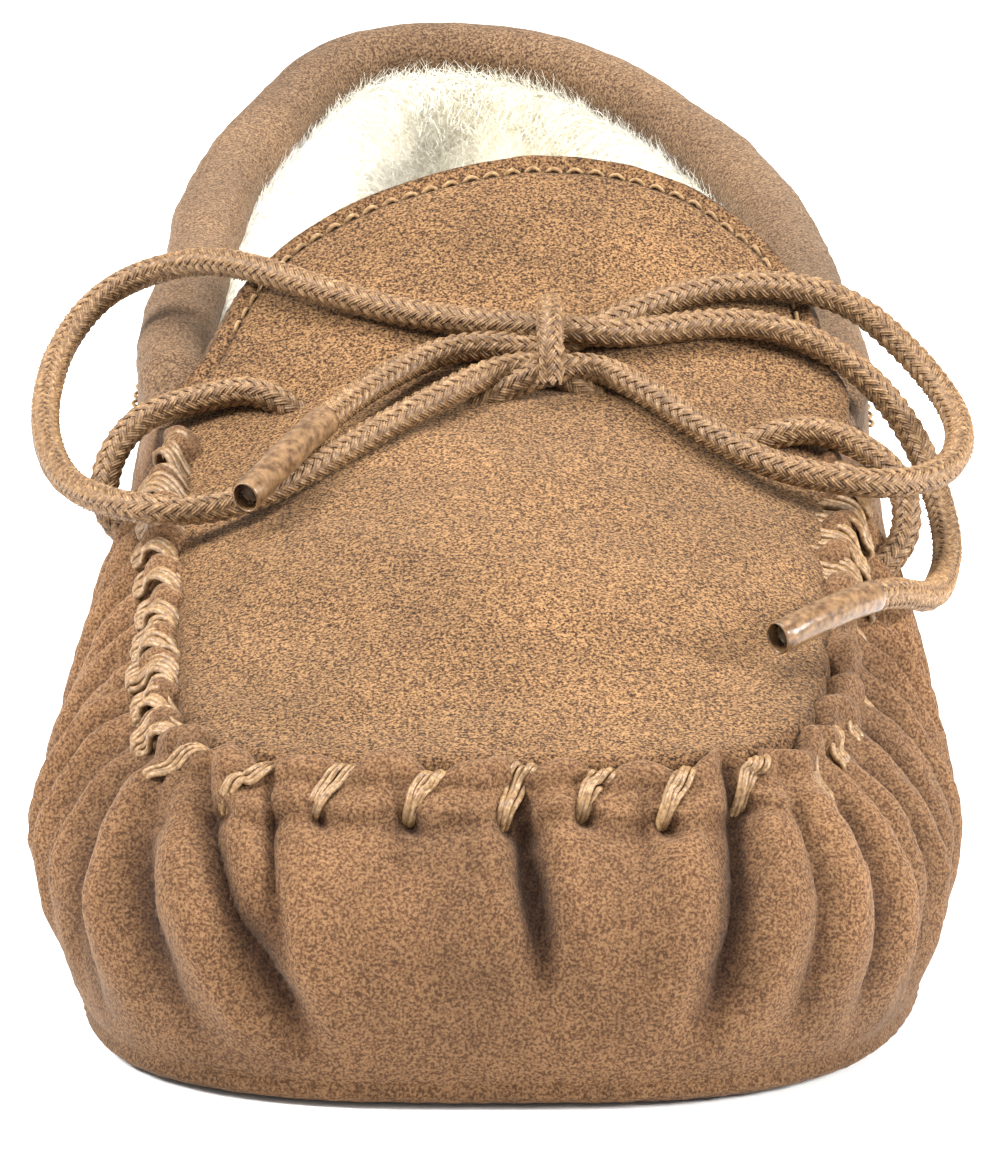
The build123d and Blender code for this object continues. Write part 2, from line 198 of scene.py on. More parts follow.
def waves(p, size, seed, n=26):
    """Smooth random field about -1 to 1, features of the given size."""
    r = np.random.default_rng(seed)
    k = r.normal(size=(n, 3))
    k *= (2 * math.pi / size) * r.uniform(0.6, 1.5, (n, 1)) / np.linalg.norm(k, axis=1, keepdims=True)
    ph = r.uniform(0, 6.283, n)
    out = np.zeros(p.shape[:-1])
    for a, b in zip(k, ph):
        out += np.sin(p @ a + b)
    return out / math.sqrt(n / 2) * 0.7


# ------------------------------------------------------------------ mesh helpers
def mesh(name, verts, quads, tris=()):
    """Smooth-shaded mesh of quads and triangles, given in millimetres."""
    me = bpy.data.meshes.new(name)
    v = np.asarray(verts, float).reshape(-1, 3) * MM
    q, t = np.asarray(quads, int).reshape(-1, 4), np.asarray(tris, int).reshape(-1, 3)
    corners = np.concatenate([q.ravel(), t.ravel()])
    starts = np.concatenate([np.arange(len(q)) * 4, q.size + np.arange(len(t)) * 3])
    me.vertices.add(len(v))
    me.vertices.foreach_set("co", v.ravel())
    me.loops.add(len(corners))
    me.loops.foreach_set("vertex_index", corners)
    me.polygons.add(len(starts))
    me.polygons.foreach_set("loop_start", starts)
    me.polygons.foreach_set("use_smooth", np.full(len(starts), True))
    me.update(calc_edges=True)
    me.validate()
    ob = bpy.data.objects.new(name, me)
    bpy.context.scene.collection.objects.link(ob)
    return ob


def store_crease(ob, values):
    """How deep in a crease each point lies, 0.3 on plain suede, for the materials to paint shade where
    higher and a highlight where lower; on the apron it also holds the darker raw edge, on the lace each
    strand's edges.
    """
    layer = ob.data.attributes.new("crease", "FLOAT", "POINT")
    layer.data.foreach_set("value", np.asarray(values, float))


def grid_faces(rows, cols, close_rows=False, close_cols=False, start=0):
    """Quads of a grid of points, numbered row by row from start."""
    r = np.arange(rows if close_rows else rows - 1)
    c = np.arange(cols if close_cols else cols - 1)
    R, C = np.meshgrid(r, c, indexing="ij")
    R2, C2 = (R + 1) % rows, (C + 1) % cols
    f = np.stack([R * cols + C, R * cols + C2, R2 * cols + C2, R2 * cols + C], -1)
    return f.reshape(-1, 4) + start


def grid_normals(g, close_cols):
    """Unit normals of a grid of points."""
    du = (np.roll(g, -1, 1) - np.roll(g, 1, 1)) if close_cols else np.gradient(g, axis=1)
    dv = np.gradient(g, axis=0)
    n = np.cross(du, dv)
    return n / np.maximum(np.linalg.norm(n, axis=-1, keepdims=True), 1e-9)


def frames(p):
    """Tangent and two steady side directions along a line of points."""
    t = np.gradient(p, axis=0)
    t /= np.linalg.norm(t, axis=1, keepdims=True)
    a = np.zeros_like(p)
    ref = np.array([0, 0, 1.0]) if abs(t[0][2]) < 0.9 else np.array([1.0, 0, 0])
    a[0] = np.cross(ref, t[0])
    a[0] /= np.linalg.norm(a[0])
    for i in range(1, len(p)):
        v = a[i - 1] - t[i] * np.dot(a[i - 1], t[i])
        a[i] = v / np.linalg.norm(v)
    return t, a, np.cross(t, a)


def run_of(p):
    """Distance along a line of points, at each point."""
    return np.r_[0, np.cumsum(np.linalg.norm(np.diff(p, axis=0), axis=1))]


def points_at(p, d, t):
    """Points of the line p at the distances t, where d holds the distance of each of its points."""
    return np.stack([np.interp(t, d, p[:, k]) for k in range(p.shape[1])], -1)


def resample(p, spacing):
    """The line p in equal steps of about the spacing, and the distance along it."""
    d = run_of(p)
    s = np.linspace(0, d[-1], max(3, int(round(d[-1] / spacing)) + 1))
    return points_at(p, d, s), s


def even_points(p, n, **kw):
    """The line p as n equally spaced points."""
    d = run_of(p)
    return points_at(p, d, np.linspace(0, d[-1], n, **kw))


def relax(p, times):
    """Smooths a line of points in place, with its ends held."""
    for _ in range(times):
        p[1:-1] = (p[:-2] + 2 * p[1:-1] + p[2:]) / 4
    return p


def end_fans(rows, sides, start, tip):
    """Triangles that close both ends of a tube to the points tip and tip + 1."""
    k = np.arange(sides)
    e = start + (rows - 1) * sides
    first = np.stack([start + (k + 1) % sides, start + k, np.full(sides, tip)], -1)
    last = np.stack([e + k, e + (k + 1) % sides, np.full(sides, tip + 1)], -1)
    return np.vstack([first, last])


def around(a, b, ang):
    """Unit circles in the planes of the side directions a and b."""
    return np.cos(ang)[None, :, None] * a[:, None] + np.sin(ang)[None, :, None] * b[:, None]


def tube_arrays(p, r, sides, start):
    """Round tube with closed ends."""
    t, a, b = frames(p)
    v = (p[:, None] + around(a, b, np.linspace(0, 2 * math.pi, sides, endpoint=False)) * r).reshape(-1, 3)
    tips = end_fans(len(p), sides, start, start + len(v))
    v = np.vstack([v, p[0] - t[0] * r * 0.5, p[-1] + t[-1] * r * 0.5])
    return v, grid_faces(len(p), sides, close_cols=True, start=start), tips


def tubes(name, paths, radii, sides):
    """One mesh of several closed tubes."""
    vs, qs, ts, n = [], [], [], 0
    for p, r in zip(paths, radii):
        v, q, t = tube_arrays(np.asarray(p, float), r, sides, n)
        vs.append(v)
        qs.append(q)
        ts.append(t)
        n += len(v)
    return mesh(name, np.vstack(vs), np.vstack(qs), np.vstack(ts))


# ------------------------------------------------------------------ materials
class Nodes:
    """A principled material with short ways to add procedural nodes."""

    def __init__(self, name):
        self.m = bpy.data.materials.new(name)
        self.m.use_nodes = True
        self.t = self.m.node_tree
        self.bsdf = self.t.nodes["Principled BSDF"]
        self.co = self.t.nodes.new("ShaderNodeTexCoord").outputs["Object"]

    def link(self, a, b):
        self.t.links.new(a, b)

    def noise(self, scale, detail, rough):
        n = self.t.nodes.new("ShaderNodeTexNoise")
        n.inputs["Scale"].default_value = scale
        n.inputs["Detail"].default_value = detail
        n.inputs["Roughness"].default_value = rough
        self.link(self.co, n.inputs["Vector"])
        return n.outputs["Fac"]

    def ramp(self, fac, stops):
        r = self.t.nodes.new("ShaderNodeValToRGB")
        e = r.color_ramp.elements
        while len(e) < len(stops):
            e.new(0.5)
        for el, (pos, col) in zip(e, stops):
            el.position = pos
            el.color = (*col, 1)
        self.link(fac, r.inputs["Fac"])
        return r.outputs["Color"]

    def mix(self, a, b, fac, mode="MIX"):
        x = self.t.nodes.new("ShaderNodeMix")
        x.data_type = "RGBA"
        x.blend_type = mode
        for sock, val in ((x.inputs[6], a), (x.inputs[7], b), (x.inputs[0], fac)):
            if isinstance(val, bpy.types.NodeSocket):
                self.link(val, sock)
            elif isinstance(val, tuple):
                sock.default_value = (*val, 1)
            else:
                sock.default_value = val
        return x.outputs[2]

    def vary(self, col, noise, stops, fac):
        """The colour multiplied by a ramp over a noise."""
        return self.mix(col, self.ramp(noise, stops), fac, "MULTIPLY")

    def crease(self, col, gain, stops):
        """Painted light and shade: the colour lightened by gain, then multiplied by a ramp over the crease
        attribute.
        """
        layer = self.t.nodes.new("ShaderNodeAttribute")
        layer.attribute_name = "crease"
        return self.vary(self.mix(col, (gain,) * 3, 1.0, "MULTIPLY"), layer.outputs["Fac"], stops, 1.0)

    def math(self, op, a, b):
        x = self.t.nodes.new("ShaderNodeMath")
        x.operation = op
        for sock, val in ((x.inputs[0], a), (x.inputs[1], b)):
            if isinstance(val, bpy.types.NodeSocket):
                self.link(val, sock)
            else:
                sock.default_value = val
        return x.outputs[0]

    def bump(self, height, strength, distance, normal=None):
        b = self.t.nodes.new("ShaderNodeBump")
        b.inputs["Strength"].default_value = strength
        b.inputs["Distance"].default_value = distance
        self.link(height, b.inputs["Height"])
        if normal:
            self.link(normal, b.inputs["Normal"])
        return b.outputs["Normal"]

    def set(self, **kw):
        for k, v in kw.items():
            s = self.bsdf.inputs[k.replace("_", " ")]
            s.default_value = (*v, 1) if isinstance(v, tuple) and len(v) == 3 and s.type == "RGBA" else v


def suede(name, dark, mid, light, grain=1.0, sheen=0.08, creased=False):
    """Napped leather: fine specks, soft blotches and, where asked, painted shade and painted highlight
    read from the crease attribute.
    """
    n = Nodes(name)
    fine = n.noise(3000 * grain, 2, 0.6)
    coarse = n.noise(1500 * grain, 3, 0.6)
    speck = n.math("ADD", n.math("MULTIPLY", fine, 0.72), n.math("MULTIPLY", coarse, 0.28))
    col = n.ramp(speck, [(0.39, dark), (0.485, mid), (0.61, light)])
    col = n.vary(col, n.noise(34, 4, 0.55), [(0.34, (0.76, 0.74, 0.72)), (0.66, (1.14, 1.12, 1.10))], 0.85)
    col = n.vary(col, n.noise(120, 3, 0.6), [(0.35, (0.90, 0.90, 0.90)), (0.65, (1.06, 1.06, 1.05))], 0.8)
    # painted light: the crease attribute darkens creases, grooves and notches as painted shade, and
    # lightens ridges below 0.3 as painted highlight
    if creased:
        col = n.crease(col, 1.25, [(0.0, (1, 1, 1)), (0.3, (0.80, 0.80, 0.80)),
                                   (0.55, (0.56, 0.53, 0.50)), (1.0, (0.22, 0.18, 0.155))])
    n.link(col, n.bsdf.inputs["Base Color"])
    hide = n.bump(n.noise(230, 4, 0.6), 0.35, 0.0003)
    n.link(n.bump(speck, 0.6, 0.00018, hide), n.bsdf.inputs["Normal"])
    rough = n.ramp(fine, [(0.3, (0.98, 0.98, 0.98)), (0.7, (0.84, 0.84, 0.84))])
    n.link(rough, n.bsdf.inputs["Roughness"])
    n.set(Sheen_Weight=sheen, Sheen_Roughness=0.45, Sheen_Tint=(0.95, 0.80, 0.62), Specular_IOR_Level=0.22)
    return n.m


def yarn(name, dark, mid, light, scale=900, sheen=0.2, rough=0.7, spec=0.3, painted_edge_shade=False):
    """Twisted fibre, where asked with painted shade at the edges of each strand and a painted highlight on
    its crown.
    """
    n = Nodes(name)
    col = n.ramp(n.noise(scale, 4, 0.7), [(0.32, dark), (0.5, mid), (0.68, light)])
    col = n.vary(col, n.noise(60, 2, 0.5), [(0.35, (0.88, 0.87, 0.86)), (0.65, (1.08, 1.07, 1.05))], 0.8)
    # painted shade between strands and yarns, painted highlight on their crowns
    if painted_edge_shade:
        col = n.crease(col, 1.28, [(0.0, (1, 1, 1)), (0.5, (0.62, 0.58, 0.54)), (1.0, (0.16, 0.12, 0.09))])
    n.link(col, n.bsdf.inputs["Base Color"])
    n.link(n.bump(n.noise(scale * 2.2, 3, 0.6), 0.5, 0.00012), n.bsdf.inputs["Normal"])
    n.set(Roughness=rough, Sheen_Weight=sheen, Sheen_Roughness=0.4, Sheen_Tint=(1.0, 0.85, 0.62),
          Specular_IOR_Level=spec)
    return n.m


def pile(name, tint=(0.955, 0.925, 0.845)):
    """Woolly pile, yellower in patches."""
    n = Nodes(name)
    col = n.ramp(n.noise(260, 4, 0.7), [(0.3, tuple(c * 0.96 for c in tint)), (0.55, tint),
                                         (0.75, (0.975, 0.950, 0.885))])
    col = n.vary(col, n.noise(22, 2, 0.5), [(0.50, (1, 1, 1)), (0.78, (0.96, 0.92, 0.76))], 0.8)
    n.link(col, n.bsdf.inputs["Base Color"])
    n.link(n.bump(n.noise(700, 5, 0.7), 0.5, 0.0008), n.bsdf.inputs["Normal"])
    n.set(Roughness=0.95, Sheen_Weight=0.3, Sheen_Roughness=0.5, Sheen_Tint=(1.0, 1.0, 0.97),
          Specular_IOR_Level=0.15)
    return n.m


# dark, middle and light tone of each material
M_WALL = suede("suede_wall", (0.042, 0.022, 0.012), (0.102, 0.057, 0.029), (0.186, 0.116, 0.064))
M_VAMP = suede("suede_vamp", (0.048, 0.0215, 0.009), (0.097, 0.0475, 0.0205), (0.163, 0.089, 0.041),
               creased=True)
M_APRON = suede("suede_apron", (0.018, 0.007, 0.002), (0.102, 0.050, 0.020), (0.232, 0.130, 0.055),
                creased=True)
M_SOLE = suede("sole_suede", (0.10, 0.055, 0.028), (0.23, 0.14, 0.08), (0.36, 0.24, 0.15), 0.8, 0.15)
M_LACE = yarn("lace_yarn", (0.045, 0.020, 0.007), (0.150, 0.082, 0.034), (0.285, 0.180, 0.088),
              1500, 0.06, 0.5, 0.35, painted_edge_shade=True)
# near-black lace core: painted shade, seen through the gaps between the braid's strands
M_CORE_SHADE = yarn("lace_core_shade", (0.02, 0.01, 0.004), (0.04, 0.02, 0.009), (0.07, 0.04, 0.016))
M_THREAD = yarn("waxed_thread", (0.085, 0.040, 0.013), (0.195, 0.108, 0.043), (0.335, 0.215, 0.100),
                1700, 0.05, 0.42, 0.5)
M_FINE = yarn("fine_thread", (0.120, 0.066, 0.026), (0.245, 0.145, 0.064), (0.360, 0.235, 0.115), 1500)
M_PILE = pile("fleece_pile")
M_FOAM = pile("foam_core", (0.80, 0.76, 0.62))


def clear_sleeve():
    """Yellowed clear plastic over the braid."""
    n = Nodes("clear_sleeve")
    n.link(n.bump(n.noise(500, 3, 0.6), 0.25, 0.0003), n.bsdf.inputs["Normal"])
    col = n.ramp(n.noise(900, 3, 0.6), [(0.35, (0.085, 0.042, 0.018)), (0.65, (0.25, 0.145, 0.068))])
    n.link(col, n.bsdf.inputs["Base Color"])
    n.set(Roughness=0.30, Transmission_Weight=0.18, IOR=1.4, Coat_Weight=0.25, Coat_Roughness=0.15,
          Specular_IOR_Level=0.35)
    return n.m


M_CLEAR = clear_sleeve()


def finish_piece(ob, mat, body="shoe", replaces=()):
    """Material, slot, body and replaced CAD nodes of one piece. Pieces that bend have no body here."""
    ob.data.materials.clear()
    ob.data.materials.append(mat)
    if replaces:
        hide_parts(*replaces)
    if body:
        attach(ob, body)
    return ob


def bend_over_hinge(ob):
    """Bakes the piece's placement into its points."""
    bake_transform(ob)


# ------------------------------------------------------------------ seam layout
# seam position s: millimetres along the rim, 0 at the middle of the toe, + towards +X
U_DENSE = np.linspace(-0.5, 0.5, 4001)
SEAM = rim_point(U_DENSE, 1.0)
ARC = run_of(SEAM)
ARC -= np.interp(0.0, SEAM[np.abs(U_DENSE) < 0.06][:, 0], ARC[np.abs(U_DENSE) < 0.06])


def arc_of(u):
    return np.interp(np.mod(np.asarray(u) + 0.5, 1.0) - 0.5, U_DENSE, ARC)


def u_of(s):
    return np.interp(s, ARC, U_DENSE)


FRONT = [-27.6, -18.4, -8.4, 2.2, 11.2, 20.0, 28.6]     # stitches across the toe
S_LEFT_END = float(arc_of(U_DENSE[(U_DENSE < 0) & (SEAM[:, 1] < -19)][0]))
S_RIGHT_END = float(arc_of(U_DENSE[(U_DENSE > 0) & (SEAM[:, 1] < -25)][-1]))
left_side = list(np.arange(FRONT[0] - 8.4, S_LEFT_END, -8.2))[::-1]
right_side = list(np.arange(FRONT[-1] + 8.2, S_RIGHT_END, 8.4))
STITCH_S = np.array(left_side + FRONT + right_side)
STITCH_S[:len(left_side)] += RNG.uniform(-0.6, 0.6, len(left_side))
STITCH_S[-len(right_side):] += RNG.uniform(-0.6, 0.6, len(right_side))
SIDE = 1 - bell(np.clip(np.abs(STITCH_S) - 30, 0, None), 14)
# pleat between each two stitches: height, length down the wall, where its ridge lies
PLEAT_A = RNG.uniform(4.6, 6.8, len(STITCH_S))
PLEAT_L = RNG.uniform(34, 52, len(STITCH_S))
PLEAT_C = RNG.uniform(0.40, 0.60, len(STITCH_S))
# front valleys: seam position, depth, length, drift per millimetre, width
VALLEYS = [(-33.5, 4.6, 38, 0.38, 1.15), (-26.4, 3.6, 25, 0.18, 0.85), (1.3, 3.9, 27, 0.13, 0.85),
           (25.6, 4.4, 34, -0.17, 1.4), (-12.8, 1.0, 14, 0.1, 1.3), (15.5, 1.1, 13, -0.05, 1.2),
           (20.5, 1.0, 13, 0.1, 1.4), (-19.5, 1.1, 15, -0.1, 1.6),
           (-38.4, 2.7, 40, 0.24, 0.80), (-43.0, 2.4, 38, 0.13, 0.80), (-48.2, 2.1, 34, 0.05, 0.80),
           (31.0, 2.8, 38, -0.10, 0.85), (35.6, 2.7, 36, -0.06, 0.80), (40.6, 2.2, 34, -0.04, 0.80)]
SEAM_LENGTH = ARC[-1] - ARC[0]
HOLES = (30, 84)       # seam positions where the right side shows dark holes between the stitches
HIDDEN = (34, 84)      # and where its stitches lie under the pleats


def seam_zone(s, soft=6.0):
    """1 along the stitched seam, 0 round the heel."""
    return step(S_LEFT_END - 2 * soft, S_LEFT_END, s) * (1 - step(S_RIGHT_END, S_RIGHT_END + 2 * soft, s))


def side_zone(s):
    """0 across the toe, 1 along the sides."""
    return 1 - bell(np.clip(np.abs(s) - 26, 0, None), 9)


def pleats(s, d):
    """Outward displacement of the gathered wall at seam position s, d below the edge."""
    s, d = np.broadcast_arrays(np.asarray(s, float), np.asarray(d, float))
    side = side_zone(s)
    # rounded ridge between each two stitches, sharp valley under each stitch
    x = s + np.sign(s) * 0.10 * d + 0.5 * np.sin(d / 7.0 + s / 11.0) * step(4, 20, d)
    k = np.clip(np.searchsorted(STITCH_S, x) - 1, 0, len(STITCH_S) - 2)
    width = STITCH_S[k + 1] - STITCH_S[k]
    phase = np.clip((x - STITCH_S[k]) / width, 0, 1)
    c = PLEAT_C[k]
    bent = np.where(phase < c, phase / c * 0.5, 0.5 + (phase - c) / (1 - c) * 0.5)
    ridge = 0.45 * np.sin(math.pi * bent) ** 0.5 + 0.55 * (1 - np.abs(2 * bent - 1) ** 1.2)
    fade = np.clip(1 - d / PLEAT_L[k], 0, 1) ** 0.9
    mids = (STITCH_S[1:] + STITCH_S[:-1]) / 2
    even_a, even_l = np.interp(x, mids, PLEAT_A[:-1]), np.interp(x, mids, PLEAT_L[:-1])
    even = even_a * np.clip(1 - d / even_l, 0, 1) ** 0.9
    out = side * (PLEAT_A[k] * ridge * fade - 0.66 * even) * (0.45 + 0.55 * step(0, 6, d))
    # fine folds, most of them at the corners of the toe
    turn = s / 4.9 + 0.4 * np.sin(s / 8.0) + 0.016 * np.sign(s) * d + 0.10 * np.sin(d / 8.0 + s / 5.0)
    tri = 1 - np.abs(2 * (turn - np.floor(turn)) - 1)
    size = 0.75 + 0.5 * np.sin(12.9 * np.floor(turn) + 1.0)
    corner = side * (1 - step(62, 100, np.abs(s)))
    fold = 2.5 * size * (tri ** 0.8 - 0.5) * bell(d, 30.0) * step(2, 9, d)
    out = out + (0.35 * side + 0.65 * corner) * fold
    for s0, a, ln, dr, w in VALLEYS:
        t = np.clip(d / ln, 0, 1)
        x = s - s0 - dr * d
        out = out - (a * np.sin(math.pi * np.clip(t * 0.82 + 0.18, 0, 1)) ** 0.7
                     * (bell(x, w + 0.03 * d, 1.1) - 0.30 * bell(np.abs(x) - 4.2, 2.6)))
    # turned hem across the toe, pressed in under each stitch
    hem = 1.15 * bell(d, 4.9, 8) - 0.45 * bell(d - 6.3, 1.2)
    scallop = 0
    for sk in FRONT:
        low = sk - 2.3
        scallop = scallop + bell(s - low, 2.0)
        out = out - (1 - side) * 2.2 * bell(s - low, 1.15) * bell(d - 5.0, 1.3)
    out = out + (1 - side) * hem * (1 - 0.55 * np.clip(scallop, 0, 1))
    return out * seam_zone(s)


def skin(s, d, lift):
    """Point on the wall at d below the edge, lifted along its normal."""
    u, zr = edge_base(s)
    y = plan(u)[0][..., 1]
    m = (inset(zr - 1.0, y) - inset(zr - 3.0, y)) / 2.0
    k = np.sqrt(1 + m * m)
    q = wall(u, zr - d / k)
    n = np.concatenate([plan(u)[1] / k[..., None], (m / k)[..., None]], -1)
    return q + n * (pleats(s, d) + lift)[..., None]


def edge_radius(s):
    """Half thickness of the turned edge: full between stitches, pinched under them."""
    r = 2.3 + 0.8 * side_zone(s)
    for sk in STITCH_S:
        r = r - 0.75 * bell(s - sk, 2.0)
    r = r + 0.22 * np.sin(s * 0.37 + 1.3) + 0.15 * np.sin(s * 1.13)
    z = seam_zone(s, 3.0)
    return 0.95 * (1 - z) + r * z


def edge_wave(s):
    """Height change of the gathered edge: notched at each stitch, lifted between."""
    out = np.zeros(np.shape(s))
    for sk in STITCH_S:
        out = out - 1.25 * bell(s - sk, 2.1)
        if abs(sk) > 30:
            rear = (s - sk) * np.sign(sk)
            out = out + 0.9 * (rear / 2.4) * bell(rear, 3.0)
    return (out + 0.95 + 0.25 * np.sin(s * 0.29)) * seam_zone(s)


def wrap_arc(s):
    """Seam positions brought into the range of ARC."""
    return np.where(s > ARC[-1], s - SEAM_LENGTH, np.where(s < ARC[0], s + SEAM_LENGTH, s))


def edge_base(s):
    """Where the turned edge starts on the outer wall: plan position and height."""
    u = u_of(s)
    return u, rim(plan(u)[0][..., 1]) + edge_wave(s) - 0.85 * edge_radius(s)


def over_edge(s, phi, lift=0.0):
    """Point on the turned edge: phi 0 at the outer wall, 180 on the inner side."""
    u, zr = edge_base(s)
    r = edge_radius(s)
    w = wall(u, zr)
    inward = -level(plan(u)[1])
    disp = pleats(s, np.zeros(np.shape(s)))
    a = np.radians(phi)
    out = w - inward * disp[..., None] + inward * (r - (r + lift) * np.cos(a))[..., None]
    skew = 0.5 * side_zone(s) * seam_zone(s)
    out[..., 2] += 1.12 * (r + lift) * np.sin(a) * (1 + skew * np.cos(a))
    if not np.any(lift):
        for k in range(len(STITCH_S) - 1):
            if HOLES[0] < STITCH_S[k] < HOLES[1]:
                mid = (STITCH_S[k] + STITCH_S[k + 1]) / 2
                pit = 1.9 * bell(s - mid, 1.7) * bell(phi - 148.0, 24.0)
                out = out - inward * pit[..., None]
                out[..., 2] -= 0.5 * pit
    return out


# ------------------------------------------------------------------ gathered wall
SKIN_T = 1.4           # thickness of the gathered suede
# the part under the foot: distance inside the widest outline, height
UNDERFOOT = [(13.5, 2.3), (10.2, 2.1), (8.7, 1.7), (7.9, 1.0), (7.0, 0.45), (5.9, 0.35),
             (4.8, 0.8), (3.9, 1.7)]


def make_vamp():
    """Wall from under the foot up over its turned edge, closed by an inner skin."""
    front, rest = np.arange(-152, 152, 0.55), np.arange(152, SEAM_LENGTH - 152, 1.9)
    s = wrap_arc(np.concatenate([front, rest]))
    u, zr = edge_base(s)
    p, n = plan(u)
    rows = [at_height(p - n * deeper, z) for deeper, z in UNDERFOOT]
    for z in np.concatenate([np.linspace(3.0, 15, 13), np.linspace(16, BOTTOM_Z, 16)]):
        rows.append(wall(u, np.full(len(u), z)))
    for t in np.linspace(0.0, 1.0, 44)[1:]:
        rows.append(wall(u, BOTTOM_Z + (zr - BOTTOM_Z) * t))
    g = np.array(rows)
    below = np.zeros(g.shape[:2])       # distance down the wall from the edge
    seg = np.linalg.norm(np.diff(g, axis=0), axis=2)
    below[:-1] = np.cumsum(seg[::-1], axis=0)[::-1]
    near = bell(below, 4.0)[..., None]
    outward = grid_normals(g, True) * (1 - near) + level(n)[None] * near
    depth = pleats(np.broadcast_to(s, below.shape), below) * step(0.5, 15, g[..., 2])
    g = g + outward * depth[..., None]
    turn = [over_edge(s, np.full(len(s), a)) for a in np.linspace(14, 180, 15)]
    for k in range(1, 5):
        turn.append(turn[14] - [0, 0, 0.9 * k])
    g = np.concatenate([g, np.array(turn)])
    soft = step(1.5, 12, g[..., 2])
    bumps = 0.5 * waves(g, 46, 3) * soft + 0.16 * waves(g, 9, 4) * soft + 0.07 * waves(g, 2.6, 5)
    g = g + grid_normals(g, True) * bumps[..., None]
    g[..., 2] = np.maximum(g[..., 2], 0.25)
    inner = (g[:len(below)] - outward * SKIN_T)[-16::-4]
    ob = mesh("vamp_suede", np.concatenate([g, inner]),
              grid_faces(len(g) + len(inner), g.shape[1], close_rows=True, close_cols=True))
    # painted light and shade: painted shade in the pleat valleys, painted highlight on the ridges
    crease = np.full((len(g) + len(inner), g.shape[1]), 0.3)
    crease[:len(below)] -= np.where(depth > 0, depth / 5.5, (depth + 0.2) / 3.2)
    crease[:len(below)] = np.clip(crease[:len(below)], 0.06, 1)
    # painted shade on the face of the turned hem across the toe
    crease[:len(below)] += 0.13 * bell(below - 1.5, 4.5, 4) * (1 - side_zone(s))
    # turned edge: painted highlight on its top, painted shade in its notches at the stitches
    crease[len(below):len(g)] = 0.15 + 0.30 * sum(bell(s - sk, 1.7) for sk in STITCH_S)
    store_crease(ob, crease.ravel())
    return ob


finish_piece(make_vamp(), M_VAMP, "shoe", ["vamp"])


# ------------------------------------------------------------------ apron and tongue, one cut of suede
STITCH_IN = 2.9        # from the tongue's edge to its stitch line


def sheet_outline():
    """Closed outline of the apron and tongue, seen from above."""
    pts = rim_point(u_of(np.linspace(arc_of(0.0) - 150, 150, 900)), WALL_T + GAP - 0.9)
    pts = pts[pts[:, 1] < -6.5][:, :2]
    edge = np.array(TONGUE_EDGE, float)
    edge[0], edge[-1] = (-38.6, -2.0), (42.2, -2.5)
    back = relax(even_points(edge, 260), 60)
    loop = np.vstack([pts, back[::-1], pts[:1]])
    out = even_points(loop, 720, endpoint=False)
    for _ in range(6):
        out = (np.roll(out, 1, 0) + 2 * out + np.roll(out, -1, 0)) / 4
    return out


def apron_height(x, y, edge_dist):
    """Top surface with slack, lace pull and stitch puckers."""
    p = np.stack([x, y, 0 * x], -1)
    z = top(x, y) + 0.5 * waves(p, 38, 21) * step(2, 12, edge_dist) + 0.10 * waves(p, 8, 22)
    z -= 0.7 * bell(x - 6, 9) * bell(y + 17, 5)
    for cx, cy in ((-27.5, -15.6), (33.6, -25.2)):
        z -= 0.9 * bell(x - cx, 3.2) * bell(y - cy, 3.2)
    return z


def spread(step_mm, length):
    """Sample positions 0 to 1, close together near both ends."""
    near = np.array([0, 0.15, 0.35, 0.6, 0.9, 1.25, 1.6, 2.0, 2.35, 2.65, 2.95, 3.3, 3.8, 4.4]) / length
    mid = np.linspace(near[-1], 1 - near[-1], int((length - 8.8) / step_mm))
    return np.concatenate([near[:-1], mid, 1 - near[:-1][::-1]])


def side_line(out, i, j, t):
    """Points at the fractions t of the outline's stretch from i to j."""
    p = out[np.arange(i, i + ((j - i) % len(out)) + 1) % len(out)]
    d = run_of(p)
    return points_at(p, d, t * d[-1])


def patch_points(out):
    """Fills the outline with a grid of points."""
    x, y = out.T
    c_fl, c_fr = int(np.argmin(x + y)), int(np.argmax(x - y))
    c_rr, c_rl = int(np.argmax(x + 1.6 * y)), int(np.argmin(x - 1.6 * y))
    s, t = spread(0.62, 84.0), spread(0.72, 128.0)
    front = side_line(out, c_fl, c_fr, s)
    right = side_line(out, c_fr, c_rr, t)
    rear = side_line(out, c_rr, c_rl, 1 - s[::-1])[::-1]
    left = side_line(out, c_rl, c_fl, 1 - t[::-1])[::-1]
    S, T = s[None, :, None], t[:, None, None]
    g = (1 - T) * front[None] + T * rear[None] + (1 - S) * left[:, None] + S * right[:, None]
    return g - ((1 - S) * (1 - T) * out[c_fl] + S * (1 - T) * out[c_fr]
                + (1 - S) * T * out[c_rl] + S * T * out[c_rr])


def distance_to(out, q):
    """Distance of each point of q to the outline's nearest point, in slices to spare memory."""
    flat = q.reshape(-1, 2)
    best = np.empty(len(flat))
    for k in range(0, len(flat), 4000):
        d = flat[k:k + 4000, None] - out[None]
        best[k:k + 4000] = np.sqrt((d ** 2).sum(-1).min(1))
    return best.reshape(q.shape[:-1])


def tongue_edge_relief(e, y):
    """Turned bead along the tongue's edge and the sunk line of its stitching."""
    back = step(-8, -2, y)
    return back * (0.55 * bell(e - 1.0, 0.8) - 0.42 * bell(e - STITCH_IN, 0.55))


